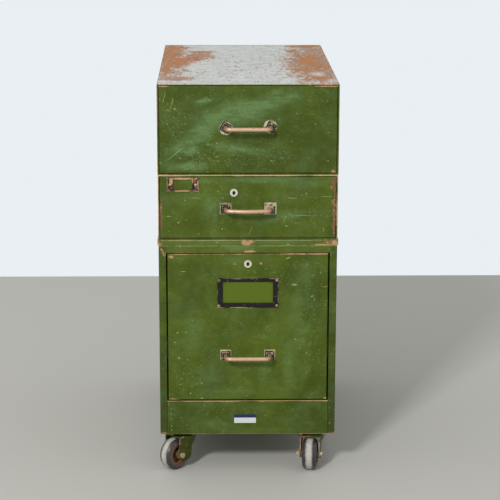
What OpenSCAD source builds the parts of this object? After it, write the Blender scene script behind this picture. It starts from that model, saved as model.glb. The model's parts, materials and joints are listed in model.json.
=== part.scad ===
// Steel drawer cabinet on swivel casters: a one-drawer filing cabinet that carries
// two shallower single-drawer cases, stacked and bolted together.
// Millimetres. The origin is on the floor at the middle of the outer box; the fronts face -Y.

/* [Cases] */
// Width of the lower and middle cases
case_w = 381; // [340:1:460]
// How much wider the top case is than the others
top_extra = 1; // [0:0.5:4]
// Depth of all three cases
case_d = 658; // [560:1:760]
// Height of the lower case
lower_h = 424; // [400:1:480]
// Height of the base rail under the middle case
rail_h = 12.8; // [10:0.1:20]
// How far the base rail stands out past the cases
rail_proud = 2; // [0.5:0.1:4]
// Height of the middle case
middle_h = 140.5; // [130:0.5:170]
// Height of the top case
top_h = 193.5; // [180:0.5:260]
// Thickness of the steel sheet
sheet = 1.2; // [0.8:0.1:1.5]
// Outside radius of the folded corners
bend_r = 2.5; // [1.6:0.1:4]

/* [Lower case] */
// Width of the two front stiles
stile_w = 15.5; // [14:0.5:22]
// Depth of the folded front frame
frame_d = 22; // [22:1:30]
// Height of the front rail over the drawer
top_rail_h = 14.8; // [12:0.2:20]
// Height of the kick panel
kick_h = 76.4; // [60:0.2:90]
// How far the kick panel is set back from the stiles
kick_inset = 0.8; // [0:0.1:2]
// Height of the flanges round the base pan
base_flange = 20; // [12:1:30]
// Width of each upright channel
upright_w = 32; // [24:1:44]
// Distance from the case's ends to the uprights
upright_inset = 70; // [50:1:110]
// Distance from the case's top to the uprights' tops
upright_drop = 45; // [30:1:60]

/* [Upper cases] */
// Thickness of the folded front edges
hem = 2.8; // [2.4:0.1:4]
// Depth of the folded front edges
hem_d = 20; // [16:1:26]
// Drop of the lip behind the top front edge
lip_h = 11; // [8:0.5:14]
// Flange round the back panels
back_flange = 12; // [8:1:18]
// Width of the base rail's flanges
rail_flange = 20; // [17:1:30]
// Step under the base rail's outer web
rail_step = 1.7; // [1.2:0.1:3]

/* [Drawers] */
// Gap round each drawer front of the upper cases
front_gap = 1; // [0.6:0.1:1.6]
// Gap at each side of the lower drawer's front
lower_side_gap = 3; // [1:0.1:4]
// Gap over and under the lower drawer's front
lower_end_gap = 2.4; // [1:0.1:4]
// Depth of the lower drawer's front
lower_front_d = 20; // [18:0.5:21.5]
// Length of the three trays
tray_l = 600; // [480:1:620]
// Height of the lower tray
lower_tray_h = 236; // [180:1:260]
// Height of the lower tray's floor over the case's lowest edge
lower_tray_z = 102; // [96:1:112]
// Height of the middle tray
middle_tray_h = 80; // [60:1:84]
// Height of the top tray
top_tray_h = 136; // [90:1:140]
// Height of the upper trays' floors over their case
upper_tray_z = 9; // [6:0.5:14]
// Width of the upper trays' side lips
tray_lip = 10; // [8:0.5:11]
// Space between an upper tray and its case wall
tray_space = 14; // [13:0.5:17]
// Running gap round a sliding lip or rail
slide_gap = 0.3; // [0.3:0.05:0.5]
// Height of a runner's wall plate
runner_h = 26; // [18:1:34]
// Distance from the front face to the runners
runner_start = 26; // [26:1:40]
// Length of the runners and cabinet rails
runner_l = 590; // [480:1:600]
// Distance from the cases' sides to the stacking bolts
bolt_side_inset = 9.2; // [8:0.1:12]
// Distance from the cases' ends to the stacking bolts
bolt_end_inset = 60; // [30:1:90]

/* [Suspension] */
// Outside height of the cabinet rails
slide_h = 46; // [42:1:54]
// Depth of a suspension from the case to the tray
slide_w = 13; // [13:0.5:16]
// Thickness of the rails' steel
slide_t = 1.5; // [1.2:0.1:1.6]
// Height of the suspension's middle over the case's lowest edge
slide_z = 190; // [160:1:220]
// Length of each cradle
cradle_l = 380; // [340:1:400]
// Length of each drawer rail
drawer_rail_l = 560; // [480:1:570]
// Gap between each cradle and the web of its cabinet rail
cradle_gap = 2; // [1:0.1:2.2]
// Radius of the rollers
roller_r = 5.2; // [4.5:0.1:5.6]
// Width of the rollers
roller_w = 4.2; // [3.6:0.1:4.4]
// Radius of the roller pins
roller_pin_r = 1.6; // [1.4:0.1:2]
// Distance of the rollers from the cradle's ends
roller_inset = 12; // [9:1:20]

/* [Handles] */
// Distance between the handle posts
handle_span = 95; // [80:1:120]
// Radius of the handle bar
bar_r = 4.5; // [3.5:0.1:5.5]
// Distance from the drawer front to the bar's centre line
bar_reach = 29; // [24:0.5:36]
// Radius of the bends, on the centre line
bar_bend = 11; // [8:0.5:14]
// Angle by which the middle drawer's bar has been pulled out of true
middle_bow = 14; // [2:1:20]
// Side of the square back plates
plate_side = 21.5; // [18:0.5:26]
// Side of the back plates' raised middle
plate_inner = 16; // [14:0.5:17.5]
// Thickness of the back plates' lower step
plate_step_t = 1.5; // [1:0.1:1.8]
// Thickness of the back plates' upper step
plate_inner_t = 2.7; // [2:0.1:3]
// Reach of the back plates' collar from the drawer front
plate_t = 3.6; // [3.2:0.1:5]
// Turn of the top drawer's left back plate
left_plate_turn = 30; // [0:1:45]
// Turn of the top drawer's right back plate
right_plate_turn = 25; // [0:1:45]
// Height of the lower handle over its case's lowest edge
lower_handle_z = 180; // [150:1:260]
// Height of the middle handle over its case
middle_handle_z = 67.6; // [50:0.2:80]
// Height of the top handle over its case
top_handle_z = 101.8; // [70:0.2:120]

/* [Locks] */
// Radius of a lock's front rim
lock_rim_r = 8.2; // [7.6:0.1:10]
// How far a lock stands out
lock_proud = 3.4; // [2:0.1:5]
// Radius of a lock's barrel
barrel_r = 7.2; // [6.6:0.1:7.4]
// Radius of a lock's plug
plug_r = 5.4; // [4.8:0.1:5.8]
// Reach of a lock's cam from the plug's axis
cam_reach = 33; // [30:0.5:34]
// Width of a lock's cam
cam_w = 11; // [9:0.5:13]
// Drop of the lower lock below its drawer front's top edge
lower_lock_drop = 22.2; // [20:0.2:24]
// Drop of the middle lock below its case's top
middle_lock_drop = 37.3; // [36.4:0.1:40]
// Offset of the middle lock from the middle
middle_lock_x = -30; // [-50:1:50]
// Distance of the studs from the lower lock
stud_offset = 28; // [20:1:36]
// Radius of the studs and of the large card holder's rivets
stud_r = 3.1; // [2.4:0.1:3.6]
// Radius of the small card holder's rivets
small_rivet_r = 2.5; // [2:0.1:3]

/* [Card holders] */
// Width of the large card holder
large_holder_w = 132; // [110:1:150]
// Height of the large card holder
large_holder_h = 66; // [56:1:80]
// Side of the large card holder's frame
large_side = 12; // [9:0.5:14]
// Top of the large card holder's frame
large_top = 8; // [7:0.5:12]
// Bottom of the large card holder's frame
large_bottom = 11; // [8:0.5:14]
// Height of the large card holder's middle over its case's lowest edge
large_holder_z = 320; // [290:1:330]
// Width of the small card holder
small_holder_w = 68; // [60:1:80]
// Height of the small card holder
small_holder_h = 31; // [28:0.5:36]
// End of the small card holder's frame
small_side = 14; // [10:0.5:16]
// Top and bottom of the small card holder's frame
small_edge = 5; // [3.5:0.5:6]
// Height of the small card holder's middle over its case
small_holder_z = 120.5; // [110:0.5:122]
// Distance of the small card holder from its case's side
small_holder_inset = 18.5; // [14:0.5:60]
// Thickness of the card holders
holder_t = 2.4; // [1.8:0.1:3.2]

/* [Casters] */
// Height from the floor to the lower case
caster_h = 85.5; // [80:0.5:100]
// Radius of the wheels
wheel_r = 35; // [28:0.5:37]
// Width of the tyres
tyre_w = 32; // [24:1:34]
// Radius of the tyres' shoulders
shoulder_r = 10; // [6:0.5:11]
// Radius of the wheel centres
hub_r = 22; // [16:0.5:24]
// Radius of the axles
axle_r = 4; // [3:0.1:5]
// Distance from the swivel axis to the wheel axis
trail = 28; // [20:0.5:32]
// Side of the square mounting plates
mount_side = 66; // [60:1:80]
// Thickness of the mounting plates
mount_t = 3; // [2:0.1:4]
// Distance from the case's sides to the swivel axes
swivel_side = 48.5; // [46:0.5:60]
// Distance from the case's front and back to the swivel axes
swivel_inset = 40; // [38:1:60]
// Thickness of the forks' steel
fork_t = 3; // [2:0.1:3.4]
// Radius of the forks' round crowns
crown_r = 31; // [28:0.5:32]
// Height of the forks' flaring cups
cup_h = 24; // [16:1:28]
// Radius of the forks' heels
heel_r = 15.5; // [12:0.5:17]
// Distance from the wheel axis back to the heels' centres
heel_back = 16; // [12:0.5:18]
// Radius of the kingpins
kingpin_r = 6; // [4:0.1:7]
// Turn of the front left caster
front_left_turn = -42; // [-180:1:180]
// Turn of the front right caster
front_right_turn = -8; // [-180:1:180]
// Turn of the rear left caster
rear_left_turn = 16; // [-180:1:180]
// Turn of the rear right caster
rear_right_turn = -21; // [-180:1:180]

/* [Hidden] */
$fn = 48;

past = 1;                    // how far a cut runs past the face it opens
fit = 0.05;                  // radial clearance of a pin that turns in its bore
touch_gap = 0.3;             // clearance between parts that pass each other

// Levels and main planes
handle_reach = bar_reach + bar_r;
front_y = -(case_d - handle_reach) / 2;
lower_z = caster_h;
rail_z = lower_z + lower_h;
middle_z = rail_z + rail_h;
top_z = middle_z + middle_h;

// Lower case
top_w = case_w + top_extra;
opening_w = case_w - 2 * stile_w;
lower_inner_w = case_w - 2 * sheet;
upright_h = lower_h - upright_drop;
lower_front_w = opening_w - 2 * lower_side_gap;
lower_front_z = kick_h + lower_end_gap;
lower_rail_z = lower_h - top_rail_h;
lower_front_top = lower_rail_z - lower_end_gap;
lower_front_h = lower_front_top - lower_front_z;

// Suspension: the rail is open towards the tray, and the cradle runs inside it
lower_tray_w = opening_w - 2 * slide_w;
slide_flange = slide_w - slide_t - slide_gap;
slide_half = slide_h / 2;
track_z = -slide_half + slide_t;
drawer_rail_z = track_z + 2 * (roller_r + fit);
lip_t = slide_t;
cradle_top = slide_half - slide_t - slide_gap;
drawer_rail_top = cradle_top - lip_t - slide_gap;
drawer_flange = roller_w + 2 * slide_gap;
cradle_x = opening_w / 2 - slide_t - cradle_gap;
cradle_start = runner_start + (runner_l - cradle_l) / 2;
roller_y = [cradle_start + roller_inset, cradle_start + cradle_l - roller_inset];
hem_fold = 8;

// Upper cases and drawers
front_clear = 0.5;
upper_front_d = hem_d - sheet - front_clear;
runner_web = sheet;
lip_fold = 2 * sheet;
bolt_r = 3;
bolt_x = case_w / 2 - bolt_side_inset;
bolt_y = [bolt_end_inset, case_d - bolt_end_inset];
bolt_head_r = 5.6;
bolt_head_t = 4;

// Handles and locks
bow_neck = 0.05;
bow_lap = 0.5;
screw_r = 2.5;
screw_head_r = 4.5;
screw_head_t = 3;
screw_depth = 12;
collar_r = 6.4;
plate_slope = 0.6;
plate_inner_slope = 1.2;
lower_lock_z = lower_front_top - lower_lock_drop;
middle_lock_z = middle_h - middle_lock_drop;
cam_t = 2;
cam_gap = 0.5;
lower_cam_y = frame_d + cam_gap;
upper_cam_y = hem_d + cam_gap;
lock_nut_t = 4;
lock_nut_r = 10.8;
lock_nut_turn = 30;
keyhole_r = 1.9;
keyhole_w = 2.2;
keyhole_l = 4.6;
keyhole_d = 8;
tail_side = 5;
rivet_shank_r = 1.5;
rivet_tail = 1.5;
rivet_tail_r = 2.4;
dome_share = 0.7;
rivet_inset = [4, 5];
small_holder_x = small_holder_inset + (small_holder_w - case_w) / 2;
holder_slope = holder_t / 3;
card_slot_t = holder_t / 2;
card_overlap = 2;

// Casters
swivel_x = case_w / 2 - swivel_side;
swivels = [
    [-swivel_x, front_y + swivel_inset, front_left_turn],
    [swivel_x, front_y + swivel_inset, front_right_turn],
    [-swivel_x, front_y + case_d - swivel_inset, rear_left_turn],
    [swivel_x, front_y + case_d - swivel_inset, rear_right_turn]
];
mount_corner = 6;
mount_bolt_inset = 9;
bolt_spread = mount_side / 2 - mount_bolt_inset;
mount_bolt_r = 3;
mount_head_r = 5;
mount_head_t = 3;
mount_nut_t = 4;
mount_z = caster_h - mount_t;
tyre_gap = 3.5;
crown_z = wheel_r * 2 + tyre_gap;
race_r = 21;
fork_inner = tyre_w / 2 + tyre_gap;
fork_outer = fork_inner + fork_t;
fork_boss_r = 10;
fork_bend = 5;
leg_lead = 5;
cup_lap = 0.5;
hub_half = fork_inner - touch_gap;
kingpin_head_r = 10;
kingpin_head_t = 3;
kingpin_rivet_r = 9;
axle_head_r = 6;
axle_head_t = 4;
axle_nut_t = 5.5;
axle_nut_r = 7;
axle_tail = 1.5;
hub_boss_r = 9;
hub_web = 6;
hub_wall = 3;
hub_inset = 3;
hub_rim = tyre_w - 2 * hub_inset;

// ---------------------------------------------------------------- helpers

// A box given by its range along each axis.
module block(x, y, z) {
    translate([x[0], y[0], z[0]]) cube([x[1] - x[0], y[1] - y[0], z[1] - z[0]]);
}

// A range of the given width about zero.
function about(w) = [-w / 2, w / 2];

// The children, once at each side of the middle plane.
module both_sides() {
    children();
    mirror([1, 0, 0]) children();
}

// A rectangle with all four corners rounded, centred along X, standing on Y = 0.
module rounded_rect(w, h, r) {
    union() {
        translate([-w / 2, r]) square([w, h - 2 * r]);
        translate([-w / 2 + r, 0]) square([w - 2 * r, h]);
        for (x = [-w / 2 + r, w / 2 - r], y = [r, h - r]) translate([x, y]) circle(r);
    }
}

// A rectangle whose two front corners are rounded, centred along X, from Y = 0 back.
module front_rounded_rect(w, d, r) {
    union() {
        translate([-w / 2, r]) square([w, d - r]);
        translate([-w / 2 + r, 0]) square([w - 2 * r, r + past]);
        for (x = [-w / 2 + r, w / 2 - r]) translate([x, r]) circle(r);
    }
}

// A cylinder along Y from y0 to y1, at x and z.
module rod_y(x, z, r, y0, y1) {
    translate([x, y0, z]) rotate([-90, 0, 0]) cylinder(r = r, h = y1 - y0);
}

// A folded pan whose open side faces +Y: rounded on its four front edges.
module pan(w, h, d, t, r) {
    difference() {
        intersection() {
            linear_extrude(h) front_rounded_rect(w, d, r);
            translate([-w / 2, 0, h / 2]) rotate([90, 0, 90]) linear_extrude(w)
                rotate(-90) front_rounded_rect(h, d, r);
        }
        block(about(w - 2 * t), [t, d + past], [t, h - t]);
    }
}

// A square plate with sloping sides, its base on Y = 0 and its top at Y = -t.
module bevelled_plate(w, h, t, slope) {
    intersection() {
        translate([0, 0, -h / 2]) linear_extrude(h)
            polygon([[-w / 2, 0], [w / 2, 0], [w / 2 - slope, -t], [-w / 2 + slope, -t]]);
        translate([-w / 2, 0, 0]) rotate([90, 0, 90]) linear_extrude(w)
            polygon([[0, -h / 2], [0, h / 2], [-t, h / 2 - slope], [-t, -h / 2 + slope]]);
    }
}

// ---------------------------------------------------------------- lower case

module lower_case_wrap() {
    color("darkolivegreen")
    translate([0, front_y, lower_z])
    linear_extrude(lower_h - sheet)
    difference() {
        front_rounded_rect(case_w, case_d, bend_r);
        translate([-lower_inner_w / 2, frame_d])
            square([lower_inner_w, case_d - frame_d - sheet]);
        translate([-opening_w / 2, -past]) square([opening_w, frame_d + 2 * past]);
        for (s = [-1, 1])
            translate([s * (case_w - stile_w) / 2 - (stile_w - 2 * sheet) / 2, sheet])
                square([stile_w - 2 * sheet, frame_d]);
    }
}

module lower_case_top() {
    color("darkolivegreen")
    translate([0, front_y, lower_z])
    difference() {
        union() {
            translate([0, 0, lower_h - sheet]) linear_extrude(sheet)
                front_rounded_rect(case_w, case_d, bend_r);
            block(about(opening_w), [0, frame_d], [lower_rail_z, lower_h - sheet / 2]);
        }
        block(about(opening_w + 2 * past), [sheet, frame_d - sheet],
              [lower_rail_z + sheet, lower_h - sheet]);
        stacking_holes(lower_h);
    }
}

// The floor pan, with a tab at each front corner that closes the stile over it.
module lower_case_base() {
    color("olivedrab")
    translate([0, front_y, lower_z])
    difference() {
        union() {
            block(about(lower_inner_w), [frame_d, case_d - sheet], [0, base_flange]);
            both_sides() block([opening_w / 2 + sheet, lower_inner_w / 2], [sheet, frame_d + sheet], [0, sheet]);
        }
        block(about(lower_inner_w - 2 * sheet), [frame_d + sheet, case_d - 2 * sheet],
              [sheet, base_flange + past]);
        caster_holes();
    }
}

module lower_kick_panel() {
    color("olivedrab")
    translate([0, front_y, lower_z])
    difference() {
        block(about(opening_w), [kick_inset, frame_d], [0, kick_h]);
        block(about(opening_w + 2 * past), [kick_inset + sheet, frame_d + past],
              [sheet, kick_h - sheet]);
        caster_holes();
    }
}

// Channels that stiffen the side walls and carry the rails.
module lower_uprights() {
    color("olivedrab")
    translate([0, front_y, lower_z + sheet])
    both_sides()
    for (y = [upright_inset, case_d - upright_inset - upright_w])
        difference() {
            block([opening_w / 2, lower_inner_w / 2 - sheet], [y, y + upright_w], [0, upright_h]);
            block([opening_w / 2 + slide_t, lower_inner_w / 2], [y + slide_t, y + upright_w - slide_t],
                  [-past, upright_h + past]);
        }
}

// ---------------------------------------------------------------- suspension

// The fixed member: a channel open towards the tray.
module lower_cabinet_rails() {
    color("dimgray")
    translate([0, front_y, lower_z + slide_z])
    both_sides()
    difference() {
        block([opening_w / 2 - slide_t - slide_flange, opening_w / 2],
              [runner_start, runner_start + runner_l], about(slide_h));
        block([0, opening_w / 2 - slide_t], [runner_start - past, runner_start + runner_l + past],
              about(slide_h - 2 * slide_t));
    }
}

// The cradles run half as far as the drawer and carry the rollers on their pins.
module lower_cradles() {
    color("silver")
    translate([0, front_y, lower_z + slide_z])
    both_sides() {
        block([cradle_x - slide_t, cradle_x], [cradle_start, cradle_start + cradle_l],
              [track_z + slide_gap, cradle_top]);
        block([cradle_x - slide_t - drawer_flange, cradle_x],
              [cradle_start, cradle_start + cradle_l], [cradle_top - lip_t, cradle_top]);
        for (y = roller_y)
            translate([cradle_x - slide_t - slide_gap - roller_w - slide_gap, y, track_z + roller_r + fit])
                rotate([0, 90, 0]) cylinder(r = roller_pin_r, h = roller_w + 3 * slide_gap + slide_t / 2);
    }
}

module roller_pair(y) {
    color("gainsboro")
    translate([0, front_y + y, lower_z + slide_z + track_z + roller_r + fit])
    both_sides()
    translate([cradle_x - slide_t - slide_gap - roller_w, 0, 0]) rotate([0, 90, 0])
    difference() {
        cylinder(r = roller_r, h = roller_w);
        translate([0, 0, -past]) cylinder(r = roller_pin_r + fit, h = roller_w + 2 * past);
    }
}

module lower_front_rollers() {
    roller_pair(roller_y[0]);
}

module lower_rear_rollers() {
    roller_pair(roller_y[1]);
}

// The drawer members: channels on the tray's sides that ride on the rollers.
module lower_drawer_rails() {
    color("dimgray")
    translate([0, front_y, lower_z + slide_z])
    both_sides()
    difference() {
        block([lower_tray_w / 2, lower_tray_w / 2 + slide_t + drawer_flange],
              [runner_start, runner_start + drawer_rail_l], [drawer_rail_z, drawer_rail_top]);
        block([lower_tray_w / 2 + slide_t, opening_w / 2],
              [runner_start - past, runner_start + drawer_rail_l + past],
              [drawer_rail_z + slide_t, drawer_rail_top - slide_t]);
    }
}

// ---------------------------------------------------------------- lower drawer

module lower_drawer_front() {
    color("darkolivegreen")
    translate([0, front_y, lower_z])
    difference() {
        translate([0, 0, lower_front_z])
            pan(lower_front_w, lower_front_h, lower_front_d, sheet, bend_r);
        screw_holes(lower_handle_z);
        rod_y(0, lower_lock_z, barrel_r, -past, lower_front_d);
        for (p = lower_rivet_spots()) rod_y(p[0], p[1], rivet_shank_r, -past, lower_front_d / 2);
    }
}

// The inner sheet that closes the back of the front.
module lower_drawer_liner() {
    color("olivedrab")
    translate([0, front_y, lower_z])
    difference() {
        block(about(lower_front_w - 2 * sheet), [lower_front_d - sheet, lower_front_d],
              [lower_front_z + sheet, lower_front_z + lower_front_h - sheet]);
        rod_y(0, lower_lock_z, barrel_r, 0, lower_front_d + past);
    }
}

module lower_drawer_tray() {
    color("olivedrab")
    translate([0, front_y + lower_front_d, lower_z + lower_tray_z])
    tray(lower_tray_w, lower_tray_h);
}

// A tray folded from one sheet: floor, two sides with inward hems, and a back.
module tray(w, h) {
    difference() {
        block(about(w), [0, tray_l], [0, h]);
        block(about(w - 2 * sheet), [-past, tray_l - sheet], [sheet, h + past]);
    }
    both_sides() block([w / 2 - 2 * sheet, w / 2 - sheet / 2], [0, tray_l - sheet / 2], [h - hem_fold, h]);
    block(about(w - 2 * sheet), [tray_l - 2 * sheet, tray_l - sheet / 2], [h - hem_fold, h]);
}

// ---------------------------------------------------------------- upper cases

// The wrapped sheet of an upper case, with folded front edges and a lip for the lock.
module upper_shell(w, h) {
    difference() {
        rotate([90, 0, 0]) mirror([0, 0, 1]) linear_extrude(case_d) rounded_rect(w, h, bend_r);
        block(about(w - 2 * hem), [-past, hem_d + past], [hem, h - hem]);
        block(about(w - 2 * sheet), [hem_d, case_d + past], [sheet, h - sheet]);
    }
    block(about(w - 2 * hem), [hem_d - sheet, hem_d], [h - hem - lip_h, h - hem]);
}

module middle_case_shell() {
    color("darkolivegreen")
    translate([0, front_y, middle_z])
    difference() {
        upper_shell(case_w, middle_h);
        stacking_holes(0);
        stacking_holes(middle_h);
    }
}

module top_case_shell() {
    color("slategray")
    translate([0, front_y, top_z])
    difference() {
        upper_shell(top_w, top_h);
        stacking_holes(0);
    }
}

module back_panel(w, h) {
    difference() {
        block(about(w - 2 * sheet), [case_d - back_flange, case_d], [sheet, h - sheet]);
        block(about(w - 4 * sheet), [case_d - back_flange - past, case_d - sheet],
              [2 * sheet, h - 2 * sheet]);
    }
}

module upper_case_backs() {
    color("olivedrab") {
        translate([0, front_y, middle_z]) back_panel(case_w, middle_h);
        translate([0, front_y, top_z]) back_panel(top_w, top_h);
    }
}

// The frame between the lower and middle cases: a channel section with a proud outer web.
module middle_base_rail() {
    color("darkolivegreen")
    translate([0, front_y, rail_z])
    difference() {
        union() {
            linear_extrude(rail_h) front_rounded_rect(case_w, case_d, bend_r);
            translate([0, -rail_proud, rail_step]) linear_extrude(rail_h - rail_step)
                front_rounded_rect(case_w + 2 * rail_proud, case_d + rail_proud, bend_r);
        }
        block(about(case_w - 2 * rail_flange), [rail_flange, case_d - rail_flange],
              [-past, rail_h + past]);
        block(about(case_w - 2 * sheet), [sheet, case_d - sheet], [sheet, rail_h - sheet]);
        stacking_holes(0);
        stacking_holes(rail_h);
    }
}

// ---------------------------------------------------------------- upper drawers

module upper_front(w, h) {
    translate([0, 0, hem + front_gap])
        pan(w - 2 * (hem + front_gap), h - 2 * (hem + front_gap), upper_front_d, sheet, bend_r);
}

// A tray whose outward lips hang in the case's runners.
module hung_tray(w, h) {
    translate([0, upper_front_d, upper_tray_z]) {
        difference() {
            block(about(w), [0, tray_l], [0, h]);
            block(about(w - 2 * sheet), [-past, tray_l - sheet], [sheet, h + past]);
        }
        both_sides() block([w / 2 - sheet / 2, w / 2 + tray_lip], [runner_start - upper_front_d, tray_l],
                           [h - lip_fold, h]);
    }
}

function tray_w(w) = w - 2 * (sheet + tray_space);

module runner_pair(w, h) {
    lip_bottom = upper_tray_z + h - lip_fold;
    lip_top = upper_tray_z + h;
    reach = tray_space - 2 * slide_gap;
    both_sides() translate([w / 2 - sheet, 0, 0]) {
        block([-runner_web, 0], [runner_start, runner_start + runner_l],
              [lip_bottom - runner_h / 2, lip_bottom + runner_h / 2]);
        block([-reach, -runner_web / 2], [runner_start, runner_start + runner_l],
              [lip_bottom - slide_gap - sheet, lip_bottom - slide_gap]);
        block([-reach, -runner_web / 2], [runner_start, runner_start + runner_l],
              [lip_top + slide_gap, lip_top + slide_gap + sheet]);
    }
}

module upper_runners() {
    color("olivedrab") {
        translate([0, front_y, middle_z]) runner_pair(case_w, middle_tray_h);
        translate([0, front_y, top_z]) runner_pair(top_w, top_tray_h);
    }
}

module middle_drawer_front() {
    color("darkolivegreen")
    translate([0, front_y, middle_z])
    difference() {
        upper_front(case_w, middle_h);
        screw_holes(middle_handle_z);
        rod_y(middle_lock_x, middle_lock_z, barrel_r, -past, upper_front_d);
        for (p = middle_rivet_spots()) rod_y(p[0], p[1], rivet_shank_r, -past, upper_front_d / 2);
    }
}

module middle_drawer_tray() {
    color("olivedrab") translate([0, front_y, middle_z]) hung_tray(tray_w(case_w), middle_tray_h);
}

module top_drawer_front() {
    color("darkolivegreen")
    translate([0, front_y, top_z])
    difference() {
        upper_front(top_w, top_h);
        screw_holes(top_handle_z);
    }
}

module top_drawer_tray() {
    color("olivedrab") translate([0, front_y, top_z]) hung_tray(tray_w(top_w), top_tray_h);
}

// ---------------------------------------------------------------- handles

module screw_holes(z) {
    for (x = about(handle_span)) rod_y(x, z, screw_r, -past, sheet + past);
}

// Part of a ring of round bar about the origin, from the X axis on.
module bent_bar(radius, turn, r) {
    rotate_extrude(angle = turn) translate([radius, 0]) circle(r);
}

// A bar with bent posts, whose ends are bored for the screws. A pulled bar bows outwards by
// the given angle at each end and is a trace thinner there, and its bends open by as much.
module handle_bar(z, bow = 0) {
    half = handle_span / 2 - bar_bend;
    bow_r = bow > 0 ? half / sin(bow) + bar_bend : bar_bend;
    bend_y = -bar_reach + bow_r - (bow_r - bar_bend) * cos(bow);
    reach = bow + bow_lap / bow_r * 180 / PI;
    color("peru")
    translate([0, front_y, z])
    difference() {
        union() {
            if (bow > 0) translate([0, bow_r - bar_reach, 0]) rotate([0, 0, -90 - reach])
                bent_bar(bow_r, 2 * reach, bar_r - bow_neck);
            if (bow == 0) translate([-half, -bar_reach, 0]) rotate([0, 90, 0]) cylinder(r = bar_r, h = 2 * half);
            for (s = [0, 1]) mirror([s, 0, 0]) {
                translate([half, bend_y, 0]) mirror([0, 1, 0]) bent_bar(bar_bend, 90 - bow, bar_r);
                rod_y(handle_span / 2, 0, bar_r, bend_y, -plate_t);
            }
        }
        for (x = about(handle_span)) rod_y(x, 0, screw_r, -plate_t - screw_depth, 0);
    }
}

// A square back plate in two steps with a round collar, bored for the screw.
module rosette(turn) {
    rotate([0, turn, 0])
    difference() {
        union() {
            bevelled_plate(plate_side, plate_side, plate_step_t, plate_slope);
            bevelled_plate(plate_inner, plate_inner, plate_inner_t, plate_inner_slope);
            rod_y(0, 0, collar_r, -plate_t, 0);
        }
        rod_y(0, 0, screw_r, -plate_t - past, past);
    }
}

module handle_plates(z, left_turn, right_turn) {
    color("saddlebrown")
    translate([0, front_y, z]) {
        translate([-handle_span / 2, 0, 0]) rosette(left_turn);
        translate([handle_span / 2, 0, 0]) rosette(right_turn);
    }
}

module handle_screws(z) {
    color("gray")
    for (x = about(handle_span)) translate([0, front_y, z]) {
        rod_y(x, 0, screw_r, -plate_t - screw_depth, sheet);
        rod_y(x, 0, screw_head_r, sheet, sheet + screw_head_t);
    }
}

module lower_handle_bar() { handle_bar(lower_z + lower_handle_z); }
module lower_handle_plates() { handle_plates(lower_z + lower_handle_z, 0, 0); }
module lower_handle_screws() { handle_screws(lower_z + lower_handle_z); }
module middle_handle_bar() { handle_bar(middle_z + middle_handle_z, middle_bow); }
module middle_handle_plates() { handle_plates(middle_z + middle_handle_z, 0, 0); }
module middle_handle_screws() { handle_screws(middle_z + middle_handle_z); }
module top_handle_bar() { handle_bar(top_z + top_handle_z); }
module top_handle_plates() { handle_plates(top_z + top_handle_z, left_plate_turn, right_plate_turn); }
module top_handle_screws() { handle_screws(top_z + top_handle_z); }

// ---------------------------------------------------------------- locks

// The barrel with its rim in front and its nut behind the sheet.
module lock_body(front_d) {
    color("wheat")
    difference() {
        union() {
            rod_y(0, 0, lock_rim_r, -lock_proud, 0);
            rod_y(0, 0, barrel_r, -past, front_d + touch_gap);
        }
        rod_y(0, 0, plug_r + fit, -lock_proud - past, front_d + past);
    }
    color("wheat")
    translate([0, sheet, 0]) rotate([-90, lock_nut_turn, 0])
    difference() {
        cylinder(r = lock_nut_r, h = lock_nut_t, $fn = 6);
        translate([0, 0, -past]) cylinder(r = barrel_r, h = lock_nut_t + 2 * past);
    }
}

// The plug, with a keyhole in its face and a square tail for the cam.
module lock_plug(cam_y) {
    color("wheat")
    difference() {
        union() {
            rod_y(0, 0, plug_r, -lock_proud, cam_y);
            block(about(tail_side), [cam_y - past, cam_y + cam_t], about(tail_side));
        }
        rod_y(0, keyhole_r / 2, keyhole_r, -lock_proud - past, keyhole_d);
        block(about(keyhole_w), [-lock_proud - past, keyhole_d], [-keyhole_l + keyhole_r / 2, keyhole_r / 2]);
    }
}

// The tongue on the plug's tail: it lies flat while unlocked.
module lock_cam(cam_y) {
    color("silver")
    translate([0, cam_y, 0])
    difference() {
        union() {
            block([0, cam_reach - cam_w / 2], [0, cam_t], about(cam_w));
            rod_y(0, 0, cam_w / 2, 0, cam_t);
            rod_y(cam_reach - cam_w / 2, 0, cam_w / 2, 0, cam_t);
        }
        block(about(tail_side), [-past, cam_t + past], about(tail_side));
    }
}

module at_lower_lock() {
    translate([0, front_y, lower_z + lower_lock_z]) children();
}

module at_middle_lock() {
    translate([middle_lock_x, front_y, middle_z + middle_lock_z]) children();
}

module lower_lock_body() { at_lower_lock() lock_body(lower_front_d); }
module lower_lock_plug() { at_lower_lock() lock_plug(lower_cam_y); }
module lower_lock_cam() { at_lower_lock() lock_cam(lower_cam_y); }
module middle_lock_body() { at_middle_lock() lock_body(upper_front_d); }
module middle_lock_plug() { at_middle_lock() lock_plug(upper_cam_y); }
module middle_lock_cam() { at_middle_lock() lock_cam(upper_cam_y); }

// ---------------------------------------------------------------- card holders

// A frame with a window and, behind it, a slot for the card that is open at the top.
module card_holder(w, h, side, top, bottom) {
    color("dimgray")
    difference() {
        bevelled_plate(w, h, holder_t, holder_slope);
        block(about(w - 2 * side), [-holder_t - past, past], [-h / 2 + bottom, h / 2 - top]);
        block(about(w - 2 * side + 2 * card_overlap), [-card_slot_t, past], [-h / 2 + bottom - card_overlap, h]);
    }
}

function large_rivet_spots() = [
    for (sx = [-1, 1], sz = [-1, 1])
        [sx * (large_holder_w / 2 - rivet_inset[0]), large_holder_z + sz * (large_holder_h / 2 - rivet_inset[1])]
];
function lower_rivet_spots() = concat(
    large_rivet_spots(),
    [[-stud_offset, lower_lock_z], [stud_offset, lower_lock_z]]
);
function middle_rivet_spots() = [
    for (s = [-1, 1]) [small_holder_x + s * (small_holder_w - small_side) / 2, small_holder_z]
];

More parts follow.
